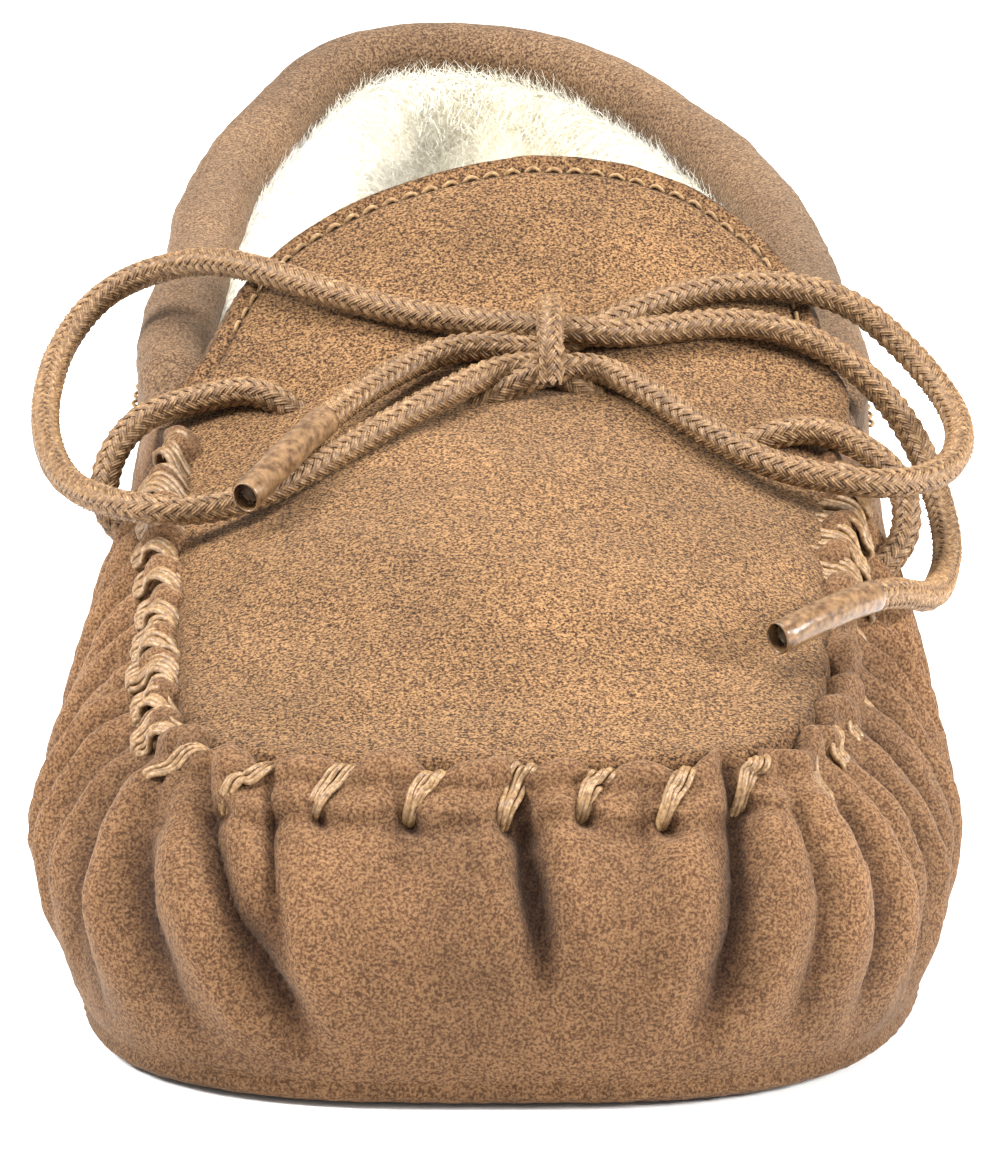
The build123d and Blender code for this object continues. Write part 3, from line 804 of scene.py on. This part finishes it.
def make_sheet():
    """Upper and under side of the suede, joined by a rounded edge."""
    out = sheet_outline()
    g = patch_points(out)
    e = distance_to(out, g)
    x, y = g[..., 0], g[..., 1]
    plain = apron_height(x, y, e)
    z = plain + tongue_edge_relief(e, y) - 0.75 * bell(e, 0.45, 1)
    # folded double where it is sewn to the gathers
    doubled = 2.0 * bell(e, 2.6) * (1 - step(-60, -35, y))
    z_under = plain - SHEET_T - doubled
    up, dn = np.dstack([g, z]), np.dstack([g, z_under])
    nt, ns = e.shape
    idx = np.arange(nt * ns).reshape(nt, ns)
    loop = np.concatenate([idx[0, :-1], idx[:-1, -1], idx[-1, :0:-1], idx[:0:-1, 0]])
    top_v, low_v = up.reshape(-1, 3), dn.reshape(-1, 3)
    ring = top_v[loop]
    tang = np.roll(ring, -1, 0) - np.roll(ring, 1, 0)
    outward = np.column_stack([tang[:, 1], -tang[:, 0], 0 * tang[:, 0]])
    outward /= np.linalg.norm(outward, axis=1, keepdims=True)
    mids = [ring + (low_v[loop] - ring) * a + outward * 0.42 * math.sin(math.pi * a)
            for a in (0.2, 0.5, 0.8)]
    n0 = nt * ns
    verts = np.vstack([top_v, low_v] + mids)
    f_top = grid_faces(nt, ns)
    f_low = grid_faces(nt, ns, start=n0)[:, ::-1]
    rows = [loop] + [2 * n0 + k * len(loop) + np.arange(len(loop)) for k in range(3)] + [loop + n0]
    sides = [np.stack([r0, r1, np.roll(r1, -1), np.roll(r0, -1)], -1)
             for r0, r1 in zip(rows[:-1], rows[1:])]
    ob = mesh("apron_tongue_suede", verts, np.vstack([f_top, f_low] + sides))
    back = step(-8, -2, y)
    # the tongue's raw edge: its own darker colour
    raw = 0.45 * bell(e, 1.35, 4) * (0.8 + 0.5 * waves(up, 2.0, 23))
    # painted shade in the sunk stitch line
    line = 0.50 * bell(e - STITCH_IN, 0.42)
    # along the apron's sewn edge: painted shade where it meets the gathers
    raw_edge_and_shade = 0.3 + back * (raw + line) + (1 - back) * 0.28 * bell(e, 1.6, 1)
    rim_raw_edge_and_shade = raw_edge_and_shade.ravel()[loop]
    store_crease(ob, np.clip(np.concatenate([raw_edge_and_shade.ravel(), raw_edge_and_shade.ravel()] + [rim_raw_edge_and_shade] * 3), 0, 1))
    return ob


sheet_ob = make_sheet()
finish_piece(sheet_ob, M_APRON, None, ["apron", "tongue"])
bend_over_hinge(sheet_ob)


# ------------------------------------------------------------------ whip stitches
def make_whip():
    """Each stitch is a band of waxed filaments carried over the turned edge."""
    paths, radii = [], []
    r = np.random.default_rng(17)
    t = np.linspace(0, 1, 40)       # along the stitch, from inside to the outer wall
    middle = 18                     # the point of t on top of the edge
    for k, sk in enumerate(STITCH_S):
        side = SIDE[k] > 0.5
        hidden = HIDDEN[0] < sk < HIDDEN[1]
        lean = (7.5 if side else 6.2) * r.uniform(0.9, 1.1)
        wide = (2.75 if side else 1.0) * r.uniform(0.92, 1.08)
        filaments, reach = (7, 2.4) if side else (4, 5.0)
        if hidden:
            filaments, wide = 4, 1.1
        s = sk + lean * (0.5 - (step(0.16, 0.80, t) if side else t))
        above_edge, above_wall = (-0.7, -0.6) if hidden else (0.3, 0.55)
        q = over_edge(s, 180 * (1 - np.clip((t - 0.26) / 0.44, 0, 1)), above_edge)
        low = skin(s, np.clip((t - 0.70) / 0.26, 0, 1) * reach, above_wall - 2.1 * step(0.92, 1.0, t))
        w = step(0.66, 0.74, t)[:, None]
        q = q * (1 - w) + low * w
        inward = -level(plan(u_of(s))[1])
        inside = 1 - step(0.0, 0.28, t)
        q = q + inward * (inside * (1.5 if side else 1.6))[:, None]
        q[:, 2] -= inside * (5.0 if side else 2.0)
        relax(q, 8)
        ahead = over_edge(np.array([sk + 1]), 90.0)[0] - over_edge(np.array([sk - 1]), 90.0)[0]
        along = np.column_stack([inward[:, 1], -inward[:, 0], np.zeros(len(t))])
        along *= np.sign(along[middle] @ ahead)
        tan = np.gradient(q, axis=0)
        tan /= np.linalg.norm(tan, axis=1, keepdims=True)
        side_v = along - tan * (along * tan).sum(1)[:, None]
        side_v /= np.linalg.norm(side_v, axis=1, keepdims=True)
        up_v = np.cross(side_v, tan)
        up_v *= np.sign(up_v[middle, 2])
        fan = 0.95 - 0.45 * step(0.6, 1.0, t)
        if side:
            fan = 0.45 + 0.55 * np.sin(math.pi * np.clip(0.05 + 0.85 * t, 0, 1))
        for j in range(filaments):
            o = 2 * (j / (filaments - 1) - 0.5)
            off = o * wide * fan + 0.10 * np.sin(6 * t + 2.2 * j + k)
            lift = 0.16 * math.cos(2.4 * j + k) - 0.20 * o * o + 0.07 * np.sin(9 * t + j * 1.7)
            strand = q + side_v * off[:, None] + up_v * lift[:, None]
            if side:
                strand[:, 2] += 0.22 * off * math.copysign(1.0, sk) * step(0.12, 0.38, t)
            paths.append(strand)
            radii.append(0.42 if side else 0.38)
    return tubes("seam_whip_thread", paths, radii, 7)


finish_piece(make_whip(), M_THREAD, "shoe", ["seam_stitches"])


# ------------------------------------------------------------------ braided lace
def nurbs_path(points, name):
    """Points along a smooth curve drawn towards the given points."""
    cu = bpy.data.curves.new(name, "CURVE")
    cu.dimensions = "3D"
    sp = cu.splines.new("NURBS")
    sp.points.add(len(points) - 1)
    for q, p in zip(sp.points, points):
        q.co = (p[0] * MM, p[1] * MM, p[2] * MM, 1)
    sp.order_u = 3
    sp.use_endpoint_u = True
    sp.resolution_u = 12
    ob = bpy.data.objects.new(name, cu)
    bpy.context.scene.collection.objects.link(ob)
    bpy.context.view_layer.update()
    me = bpy.data.meshes.new_from_object(ob)
    v = np.array([x.co[:] for x in me.vertices]) / MM
    bpy.data.objects.remove(ob)
    bpy.data.curves.remove(cu)
    bpy.data.meshes.remove(me)
    return v


def braid(name, path, radius=1.72, pitch=13.0, pace=0.58, strand_w=0.53):
    """Round braid: eight strands each way, over two and under two."""
    p, s = resample(path, pace)
    t, a, b = frames(p)
    n = 8
    across = np.array([-1, -0.84, -0.60, -0.36, -0.12, 0.12, 0.36, 0.60, 0.84, 1.0])
    rise = np.array([-0.20, 0.06, 0.08, -0.06, 0.15, 0.15, -0.06, 0.08, 0.06, -0.20])
    verts, quads, tris, base = [], [], [], 0
    for way in (1, -1):
        for i in range(n):
            th = way * 2 * math.pi * s / pitch + 2 * math.pi * i / n + (0 if way > 0 else math.pi / n)
            r = radius - 0.12 + 0.25 * way * np.cos(4 * th)
            er = np.cos(th)[:, None] * a + np.sin(th)[:, None] * b
            et = -np.sin(th)[:, None] * a + np.cos(th)[:, None] * b
            slope = way * 2 * math.pi * radius / pitch
            d = t + et * slope
            d /= np.linalg.norm(d, axis=1, keepdims=True)
            side = np.cross(d, er)
            c = p + er * r[:, None]
            ring = [c + side * (x * strand_w) + er * (h - 0.10 * x * x) for x, h in zip(across, rise)]
            ring.append(c - er * 0.42)
            ring = np.stack(ring, 1)
            m = ring.shape[1]
            verts.append(ring.reshape(-1, 3))
            quads.append(grid_faces(len(p), m, close_cols=True, start=base))
            k = np.arange(1, m - 1)
            tris.append(np.stack([np.full(m - 2, base), base + k, base + k + 1], -1))
            e = base + (len(p) - 1) * m
            tris.append(np.stack([np.full(m - 2, e), e + k + 1, e + k], -1))
            base += len(p) * m
    ob = mesh(name, np.vstack(verts), np.vstack(quads), np.vstack(tris))
    shade = [1, 0.45, 0.05, 0.45, 0.0, 0.0, 0.45, 0.05, 0.45, 1, 1]      # across one strand: painted shade toward its edges and in its yarn valleys, painted highlight on the yarn crowns
    store_crease(ob, np.tile(shade, len(ob.data.vertices) // len(shade)))
    return ob


path_left, path_right = nurbs_path(LACE_LEFT, "path_left"), nurbs_path(LACE_RIGHT, "path_right")


lace_left = braid("lace_left_braid", path_left)
lace_right = braid("lace_right_braid", path_right, pace=0.75)
core_left = tubes("lace_left_core", [resample(path_left, 1.2)[0]], [1.42], 10)
core_right = tubes("lace_right_core", [resample(path_right, 1.2)[0]], [1.42], 10)
for ob, mat, node in ((lace_left, M_LACE, "lace_left"), (lace_right, M_LACE, "lace_right"),
                      (core_left, M_CORE_SHADE, None), (core_right, M_CORE_SHADE, None)):
    finish_piece(ob, mat, None, [node] if node else ())
    bend_over_hinge(ob)


def smooth_line(points):
    return relax(even_points(np.array(points, float), 40), 12)


wrap = braid("lace_knot_wrap_braid", smooth_line(KNOT_WRAP), 1.55, 12.0, 0.5)
finish_piece(wrap, M_LACE, "shoe", ["lace_knot_wrap"])
wrap_core = finish_piece(tubes("lace_knot_core", [smooth_line(KNOT_WRAP)], [1.3], 10), M_CORE_SHADE)


def make_aglet(name, path, length):
    """Clear shrunk sleeve round the end of the braid, open and pinched at the tip."""
    p, s = resample(path, 0.5)
    p = p[s > s[-1] - length]
    p = np.vstack([p, p[-1] + frames(p)[0][-1] * np.linspace(0.3, 1.5, 4)[:, None]])
    _, a, b = frames(p)
    k = np.linspace(0, 1, len(p))
    ang = np.linspace(0, 2 * math.pi, 28, endpoint=False)
    shells = []
    for extra in (0.0, -0.16):
        r = LACE_D / 2 + 0.12 + extra + 0.05 * np.sin(k * 15)[:, None] * np.cos(2 * ang + 1)[None]
        r = r - 0.35 * step(0.90, 1.0, k)[:, None] * (0.5 + 0.5 * np.cos(2 * ang))[None]
        shells.append(p[:, None] + r[..., None] * around(a, b, ang))
    g = np.concatenate([shells[0], shells[1][::-1]])
    return mesh(name, g, grid_faces(len(g), 28, close_rows=True, close_cols=True))


aglets = [finish_piece(make_aglet(node + "_sleeve", path, length), M_CLEAR, "shoe", [node])
          for node, path, length in (("aglet_left", path_left, 21), ("aglet_right", path_right, 17))]


# ------------------------------------------------------------------ collar roll
def collar_span(y_from):
    """First and last plan position behind y_from."""
    us = np.arange(600) / 600
    ok = us[plan(us)[0][:, 1] > y_from]
    return ok[0], ok[-1]


def make_collar():
    """Padded roll round the opening, thinner and lower where its ends meet the gathers."""
    u = np.linspace(*collar_span(-13.0), 440)
    y = plan(u)[0][:, 1]
    n = plan(u)[1]
    z0 = rim(y)
    # section: (deeper, height above the rim), counter-clockwise from the outer flap
    sec = [(-1.15, -4.6), (-1.55, -3.6), (-1.5, -2.2), (-1.35, -0.8)]
    for a in np.radians(np.linspace(-20, 195, 19)):
        sec.append((3.4 - 4.95 * math.cos(a), 4.15 + 3.95 * math.sin(a)))
    sec += [(7.2, 0.9), (5.6, 0.25), (3.4, 0.15), (1.0, 0.1), (-0.35, -0.4), (-0.35, -4.4)]
    sec = np.array(sec)
    end = np.minimum(1, np.minimum(np.arange(len(u)), np.arange(len(u))[::-1]) / 7.0)
    shrink = np.sqrt(1 - (1 - end) ** 2) * 0.97 + 0.03
    sink = 1 - step(-12, 7, y)
    shrink = shrink * (1 - 0.42 * sink)
    q0 = wall(u, z0)
    g = np.empty((len(u), len(sec), 3))
    c_d, c_h = 3.0, 2.8     # the point the section shrinks to
    for j, (d, h) in enumerate(sec):
        dd, hh = c_d + (d - c_d) * shrink, c_h + (h - c_h) * shrink
        g[:, j, :2] = q0[:, :2] - n * dd[:, None]
        g[:, j, 2] = z0 + hh - 3.2 * sink
    nn = -grid_normals(g, True)
    amp = (0.22 * waves(g, 34, 31) + 0.10 * waves(g, 9, 32) + 0.04 * waves(g, 2.4, 33)) * shrink[:, None]
    across = bell(g[..., 2] - z0[:, None] - 5, 3.5)
    g = g + nn * (amp * (0.35 + 0.65 * across))[..., None]
    quads = grid_faces(len(u), len(sec), close_cols=True)
    ends = end_fans(len(u), len(sec), 0, len(u) * len(sec))
    v = np.vstack([g.reshape(-1, 3), g[0].mean(0), g[-1].mean(0)])
    return mesh("collar_roll_suede", v, quads[:, ::-1], ends[:, ::-1])


finish_piece(make_collar(), M_WALL, "shoe", ["collar_roll"])


def make_collar_core():
    p = rim_point(np.linspace(*collar_span(1.5), 260), 3.3, 3.7)
    return tubes("collar_core_foam", [p], [2.4], 12)


finish_piece(make_collar_core(), M_FOAM, "shoe", ["collar_core"])


def stitch_row(name, pts, normals, length, lift, r):
    """Short threads lying along a line, each with its ends sunk in."""
    p, s = resample(pts, 0.25)
    nn = points_at(normals, np.linspace(0, s[-1], len(normals)), s)
    gap = 0.16      # share of the pitch left free before and after each thread
    pitch = length / (1 - 2 * gap)
    rise = lift * np.array([-1.2, 0.1, 0.75, 1, 0.75, 0.1, -1.2])
    paths = []
    for k in range(int(s[-1] / pitch)):
        t = np.linspace((k + gap) * pitch, (k + 1 - gap) * pitch, len(rise))
        paths.append(points_at(p, s, t) + points_at(nn, s, t) * rise[:, None])
    return tubes(name, paths, [r] * len(paths), 6)


def make_collar_stitches():
    u = np.linspace(*collar_span(9.0), 500)
    p, n = plan(u)
    line = wall(u, rim(p[:, 1]) - 3.3, -1.45)
    return stitch_row("collar_stitch_thread", line, level(n), 2.5, 0.22, 0.26)


finish_piece(make_collar_stitches(), M_FINE, "shoe", ["collar_stitches"])


def make_tongue_stitches():
    """Stitches along the tongue's edge, drawn in from the outline towards its spine."""
    out = sheet_outline()
    spine = np.column_stack([np.clip(out[:, 0], -12, 14) * 0.35 + 1.5, np.clip(out[:, 1], -78, 0)])
    q = out + (spine - out) * (STITCH_IN / np.linalg.norm(spine - out, axis=1))[:, None]
    k = np.where(q[:, 1] > -1.0)[0]
    split = np.where(np.diff(k) > 1)[0]
    if len(split):
        k = np.concatenate([k[split[0] + 1:], k[:split[0] + 1]])
    q = q[k]
    z = apron_height(q[:, 0], q[:, 1], np.full(len(q), STITCH_IN)) - 0.1
    p = np.column_stack([q, z])
    return stitch_row("tongue_stitch_thread", p, np.tile([0, -0.35, 0.94], (len(p), 1)), 1.9, 0.28, 0.27)


ts = finish_piece(make_tongue_stitches(), M_FINE, None, ["tongue_stitches"])
bend_over_hinge(ts)


# ------------------------------------------------------------------ fleece
def make_lining():
    """Pile lining: smooth towards the wall, rounded at its lip, lumpy inside."""
    u = np.linspace(0, 1, 460, endpoint=False)
    y = plan(u)[0][:, 1]
    mouth = step(-8, 3, y)
    zone = seam_zone(arc_of(u), 4.0)
    lip = rim(y) - 5.6 + 5.0 * mouth - 3.5 * zone * (1 - mouth)
    d0, d1 = WALL_T + GAP + 4.6 * zone, WALL_T + GAP + PILE + 1.3 * zone
    rows = [wall(u, 4.2 + (lip - 4.2) * t, d0) for t in np.linspace(0, 1, 8)]
    for a in np.radians(np.linspace(160, 0, 9)):
        q = wall(u, lip, d0 + (d1 - d0) / 2 * (1 + math.cos(a)))
        q[:, 2] += math.sin(a) * (0.4 + 0.6 * mouth)
        rows.append(q)
    rows += [wall(u, lip + (4.4 - lip) * t, d1) for t in np.linspace(0.03, 1, 40)]
    g = np.array(rows)
    inner = np.zeros(len(g))
    inner[10:] = 1
    amp = 0.5 * waves(g, 12, 41) + 0.45 * waves(g, 5, 42) + 0.25 * waves(g, 2.2, 43)
    g = g + grid_normals(g, True) * (np.clip(amp, -0.9, 0.5) * inner[:, None])[..., None] * 0.7
    return mesh("fleece_lining_pile", g, grid_faces(len(g), len(u), close_rows=True, close_cols=True))


finish_piece(make_lining(), M_PILE, "shoe", ["fleece_lining"])


def fibres(name, roots, normals, length, width, seed, droop):
    """Wavy tapered hairs, one flat ribbon each, open at both ends."""
    r = np.random.default_rng(seed)
    n = len(roots)
    ln = length * r.uniform(0.6, 1.25, n)
    jit = r.normal(size=(n, 3))
    d = normals + 0.95 * jit
    d /= np.linalg.norm(d, axis=1, keepdims=True)
    side = np.cross(d, r.normal(size=(n, 3)))
    side /= np.linalg.norm(side, axis=1, keepdims=True)
    up = np.cross(side, d)
    ph = r.uniform(0, 6.28, n)
    verts = []
    for t in (0.0, 0.34, 0.68, 1.0):
        c = roots + d * (ln * t)[:, None] + up * (ln * 0.22 * np.sin(ph + 5 * t))[:, None] * t
        c[:, 2] -= droop * ln * t * t
        w = width * (1 - 0.8 * t)
        verts += [c - side * w / 2, c + side * w / 2]
    v = np.stack(verts, 1).reshape(-1, 3)
    base = (np.arange(n) * 8)[:, None, None]
    pat = np.array([[0, 1, 3, 2], [2, 3, 5, 4], [4, 5, 7, 6]])[None]
    return mesh(name, v, (base + pat).reshape(-1, 4))


def lining_roots(n):
    """Roots and directions of the hairs on the upper 30 mm of the lining, from left to right."""
    r = np.random.default_rng(51)
    u = r.uniform(*collar_span(0.0), n)
    t = r.uniform(0, 1, n) ** 1.4
    q = wall(u, rim(plan(u)[0][:, 1]) + 0.2 - 30.0 * t, WALL_T + GAP + PILE - 0.3)
    nrm = -np.column_stack([plan(u)[1], np.full(n, -0.25)])
    order = np.argsort(q[:, 0])
    return q[order], (nrm / np.linalg.norm(nrm, axis=1, keepdims=True))[order]


def edge_roots(n):
    """Roots and directions of the hairs along the lining's lip."""
    u = np.random.default_rng(53).uniform(*collar_span(1.0), n)
    p, out = plan(u)
    return wall(u, rim(p[:, 1]) + 0.4, 7.6), at_height(-out * 0.9, 0.45)


def hairs(name, roots, normals, length, width, seed, droop=0.25, body="shoe"):
    finish_piece(fibres(name, roots, normals, length, width, seed, droop), M_PILE, body)


roots, nrm = lining_roots(56000)
for half, part in (("left", slice(0, 28000)), ("right", slice(28000, 56000))):
    hairs("fleece_wall_hairs_" + half, roots[part], nrm[part], 3.3, 0.12, 52)
hairs("fleece_edge_hairs", *edge_roots(10000), 3.8, 0.11, 54, 0.05)


def merged(ob):
    """The same mesh with coincident points joined."""
    bm = bmesh.new()
    bm.from_mesh(ob.data)
    bmesh.ops.remove_doubles(bm, verts=bm.verts, dist=1e-6)
    bm.to_mesh(ob.data)
    bm.free()
    return ob


def make_pad(name, z_low, z_high, deeper, lumps, seed):
    """Soft pad filling the plan outline, rounded at its edge."""
    u = np.linspace(0, 1, 300, endpoint=False)
    p, n = plan(u)
    c = np.column_stack([np.full(len(u), -1.0), -80 + 175 * (1 - np.abs(2 * u - 1))])
    edge_low = p - n * (inset(np.full(len(u), z_low), p[:, 1]) + deeper + 0.6)[:, None]
    edge = p - n * (inset(np.full(len(u), z_high), p[:, 1]) + deeper)[:, None]
    rows = [at_height(edge_low + (c - edge_low) * t, z_low) for t in np.linspace(1, 0, 14)]
    for a in np.linspace(0, 1, 5):
        rows.append(at_height(edge_low + (edge - edge_low) * math.sin(a * 1.57),
                              z_low + (z_high - z_low) * (0.1 + 0.85 * a)))
    rows += [at_height(edge + (c - edge) * t, z_high) for t in np.linspace(0.01, 1, 70)]
    g = np.array(rows)
    lump = np.clip(0.6 * waves(g, 13, seed) + 0.5 * waves(g, 5, seed + 1), -1.2, 0.6)
    g[18:, :, 2] += lumps * lump[18:]       # the last row of the edge and the upper side
    return merged(mesh(name, g, grid_faces(len(g), len(u), close_cols=True)))


def insole_roots(n):
    """Roots of the hairs spread over the insole."""
    r = np.random.default_rng(63)
    u, t = r.uniform(0, 1, n), np.sqrt(r.uniform(0.0, 1, n))
    p, out = plan(u)
    edge = p - out * 12.0
    c = np.column_stack([p[:, 0] * 0.02 - 1, np.clip(p[:, 1], -80, 95)])
    return at_height(c + (edge - c) * t[:, None], 14.4)


insole = make_pad("fleece_insole_pile", 8.5, 14.9, PAD_INSET, 0.9, 61)
finish_piece(insole, M_PILE, "shoe", ["fleece_insole"])
hairs("fleece_insole_hairs", insole_roots(9000), np.tile([0, 0, 1.0], (9000, 1)), 4.2, 0.22, 64, 0.1)
sole = make_pad("outsole_patch_suede", 0.0, 1.95, 3.0, 0.0, 65)
finish_piece(sole, M_SOLE, "shoe", ["outsole_patch"])


def tongue_loop():
    """Closed outline of the fleece under the tongue."""
    e = relax(even_points(np.array(TONGUE_EDGE, float), 150), 20)
    base = at_height(np.linspace(e[-1][0], e[0][0], 70)[1:-1], -3.4)
    v = np.vstack([e, base]) - TONGUE_MID
    loop = TONGUE_MID + v * (1 - 6.3 / np.linalg.norm(v, axis=1))[:, None]
    loop[:, 1] = np.maximum(loop[:, 1], -3.2)
    return loop


def make_tongue_fleece(loop):
    """Fleece under the tongue, flat against it and lumpy below."""
    # share of the way in to the middle, depth below the tongue's upper surface
    rings = ([(x, 2.15) for x in np.linspace(1, 0, 10)] + [(0.0, 3.4), (0.01, 5.0)]
             + [(x, 6.1) for x in np.linspace(0.04, 1, 24)])
    rows = []
    for r, drop in rings:
        q = loop + (TONGUE_MID - loop) * r
        q = np.column_stack([q, top(q[:, 0], q[:, 1]) - drop])
        if drop > 5:
            q[:, 2] -= 0.35 * waves(q, 4, 71) + 0.3 * waves(q, 9, 72)
        rows.append(q)
    return merged(mesh("tongue_fleece_pile", rows, grid_faces(len(rows), len(loop), close_cols=True)))


def tongue_roots(loop, n):
    """Roots of the hairs spread under the tongue."""
    r = np.random.default_rng(73)
    k, t = r.integers(0, len(loop), n), np.sqrt(r.uniform(0, 1, n))
    q = TONGUE_MID + (loop[k] - TONGUE_MID) * t[:, None]
    return np.column_stack([q, top(q[:, 0], q[:, 1]) - 5.8])


loop = tongue_loop()
finish_piece(make_tongue_fleece(loop), M_PILE, "tongue", ["tongue_lining"])
hairs("tongue_fleece_hairs", tongue_roots(loop, 5000), np.tile([0, 0.2, -1.0], (5000, 1)),
      2.6, 0.2, 74, 0.1, "tongue")


# ------------------------------------------------------------------ heel backstay
STAY_HALF, STAY_LOW, STAY_TOP = 7.5, 5.5, 57.0      # half width, lower and upper end


def heel_u(x):
    """Plan position round the heel where the wall lies at x."""
    us = np.linspace(0.42, 0.58, 1200)
    return np.interp(-np.asarray(x), -wall(us, np.full(len(us), 30.0))[:, 0], us)


def make_backstay():
    """Suede strip over the heel seam, rounded at its sides."""
    xs = np.linspace(-STAY_HALF, STAY_HALF, 31)
    e = np.minimum(1, (STAY_HALF - np.abs(xs)) / 1.1)
    out, inn = [], []
    for z in np.linspace(STAY_LOW, STAY_TOP, 60):
        narrow = min(1.0, (z - STAY_LOW) / 5 + 0.55, (STAY_TOP - z) / 4 + 0.75)
        u = heel_u(HEEL_X + xs * narrow)
        out.append(wall(u, np.full(len(u), z), -0.35 - 1.3 * np.sqrt(1 - (1 - e) ** 2)))
        inn.append(wall(u, np.full(len(u), z), -0.05))
    g = np.array(out + inn[::-1])
    n, m = len(out), len(xs)
    g[:n] += 0.08 * waves(g[:n], 3, 81)[..., None] * np.array([0, 1.0, 0])
    r = np.arange(n - 1)
    back = 2 * n - 1 - r                # the row behind row r
    left = np.stack([r, r + 1, back - 1, back], -1) * m
    right = np.stack([r, back, back - 1, r + 1], -1) * m + m - 1
    faces = np.vstack([grid_faces(2 * n, m, close_rows=True), left, right])[:, ::-1]
    return mesh("heel_backstay_suede", g, faces)


finish_piece(make_backstay(), M_WALL, "shoe", ["heel_backstay"])
for side, x, nodes in (("left", -5.2, ["backstay_stitches"]), ("right", 5.2, ())):
    u = np.full(120, float(heel_u(HEEL_X + x)))
    row = stitch_row("backstay_stitch_" + side, wall(u, np.linspace(9, 53, 120), -1.62),
                     level(plan(u)[1]), 2.2, 0.3, 0.28)
    finish_piece(row, M_FINE, "shoe", nodes)

# hidden pieces carried over from CAD
for node, mat in (("insole_foam", M_FOAM), ("apron_lining", M_PILE)):
    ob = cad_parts[node]
    ob.data.materials.clear()
    ob.data.materials.append(mat)

# ------------------------------------------------------------------ floor, light, camera
FLOOR = 3000.0
corners = [(-FLOOR, -FLOOR, 0), (FLOOR, -FLOOR, 0), (FLOOR, FLOOR, 0), (-FLOOR, FLOOR, 0)]
floor = mesh("studio_floor", corners, [[0, 1, 2, 3]])
fm = bpy.data.materials.new("studio_white")
fm.use_nodes = True
fm.node_tree.nodes["Principled BSDF"].inputs["Base Color"].default_value = (0.95, 0.95, 0.95, 1)
fm.node_tree.nodes["Principled BSDF"].inputs["Roughness"].default_value = 0.9
floor.data.materials.append(fm)

world = bpy.data.worlds.new("studio")
bpy.context.scene.world = world
world.use_nodes = True
world.node_tree.nodes["Background"].inputs["Color"].default_value = (1, 1, 1, 1)
world.node_tree.nodes["Background"].inputs["Strength"].default_value = 0.60


def area(name, loc, aim, size, power):
    la = bpy.data.lights.new(name, "AREA")
    la.size, la.energy = size, power
    ob = bpy.data.objects.new(name, la)
    bpy.context.scene.collection.objects.link(ob)
    ob.location = loc
    ob.rotation_euler = (Vector(aim) - Vector(loc)).to_track_quat("-Z", "Y").to_euler()


area("overhead", (0, -0.15, 2.0), (0, 0, 0), 1.6, 77)
area("key", (-0.8, -0.25, 0.75), (0, 0.0, 0.04), 0.3, 20)
area("key_right", (0.95, -0.35, 0.45), (0, 0.0, 0.04), 0.3, 22)
bpy.context.scene.view_settings.view_transform = "Standard"

AZ, EL, DIST, FOCAL_PX, ROLL = math.radians(-0.5), math.radians(16.0), 1.0, 7752.0, math.radians(0.32)
back = Vector((math.sin(AZ) * math.cos(EL), -math.cos(AZ) * math.cos(EL), math.sin(EL)))
right = Vector((0, 0, 1)).cross(back).normalized()
up = back.cross(right)
target = Vector((0.0001, -0.010, 0.040)) - up * 0.0084
cam_data = bpy.data.cameras.new("photo_view")
cam_data.sensor_fit = "HORIZONTAL"
cam_data.sensor_width = 36.0
cam_data.lens = 36.0 * FOCAL_PX / 1000.0
cam_data.clip_start, cam_data.clip_end = 0.05, 20
cam = bpy.data.objects.new("photo_view", cam_data)
bpy.context.scene.collection.objects.link(cam)
rot = Matrix((right, up, back)).transposed() @ Matrix.Rotation(ROLL, 3, "Z")
cam.matrix_world = Matrix.Translation(target + back * DIST) @ rot.to_4x4()
bpy.context.scene.camera = cam
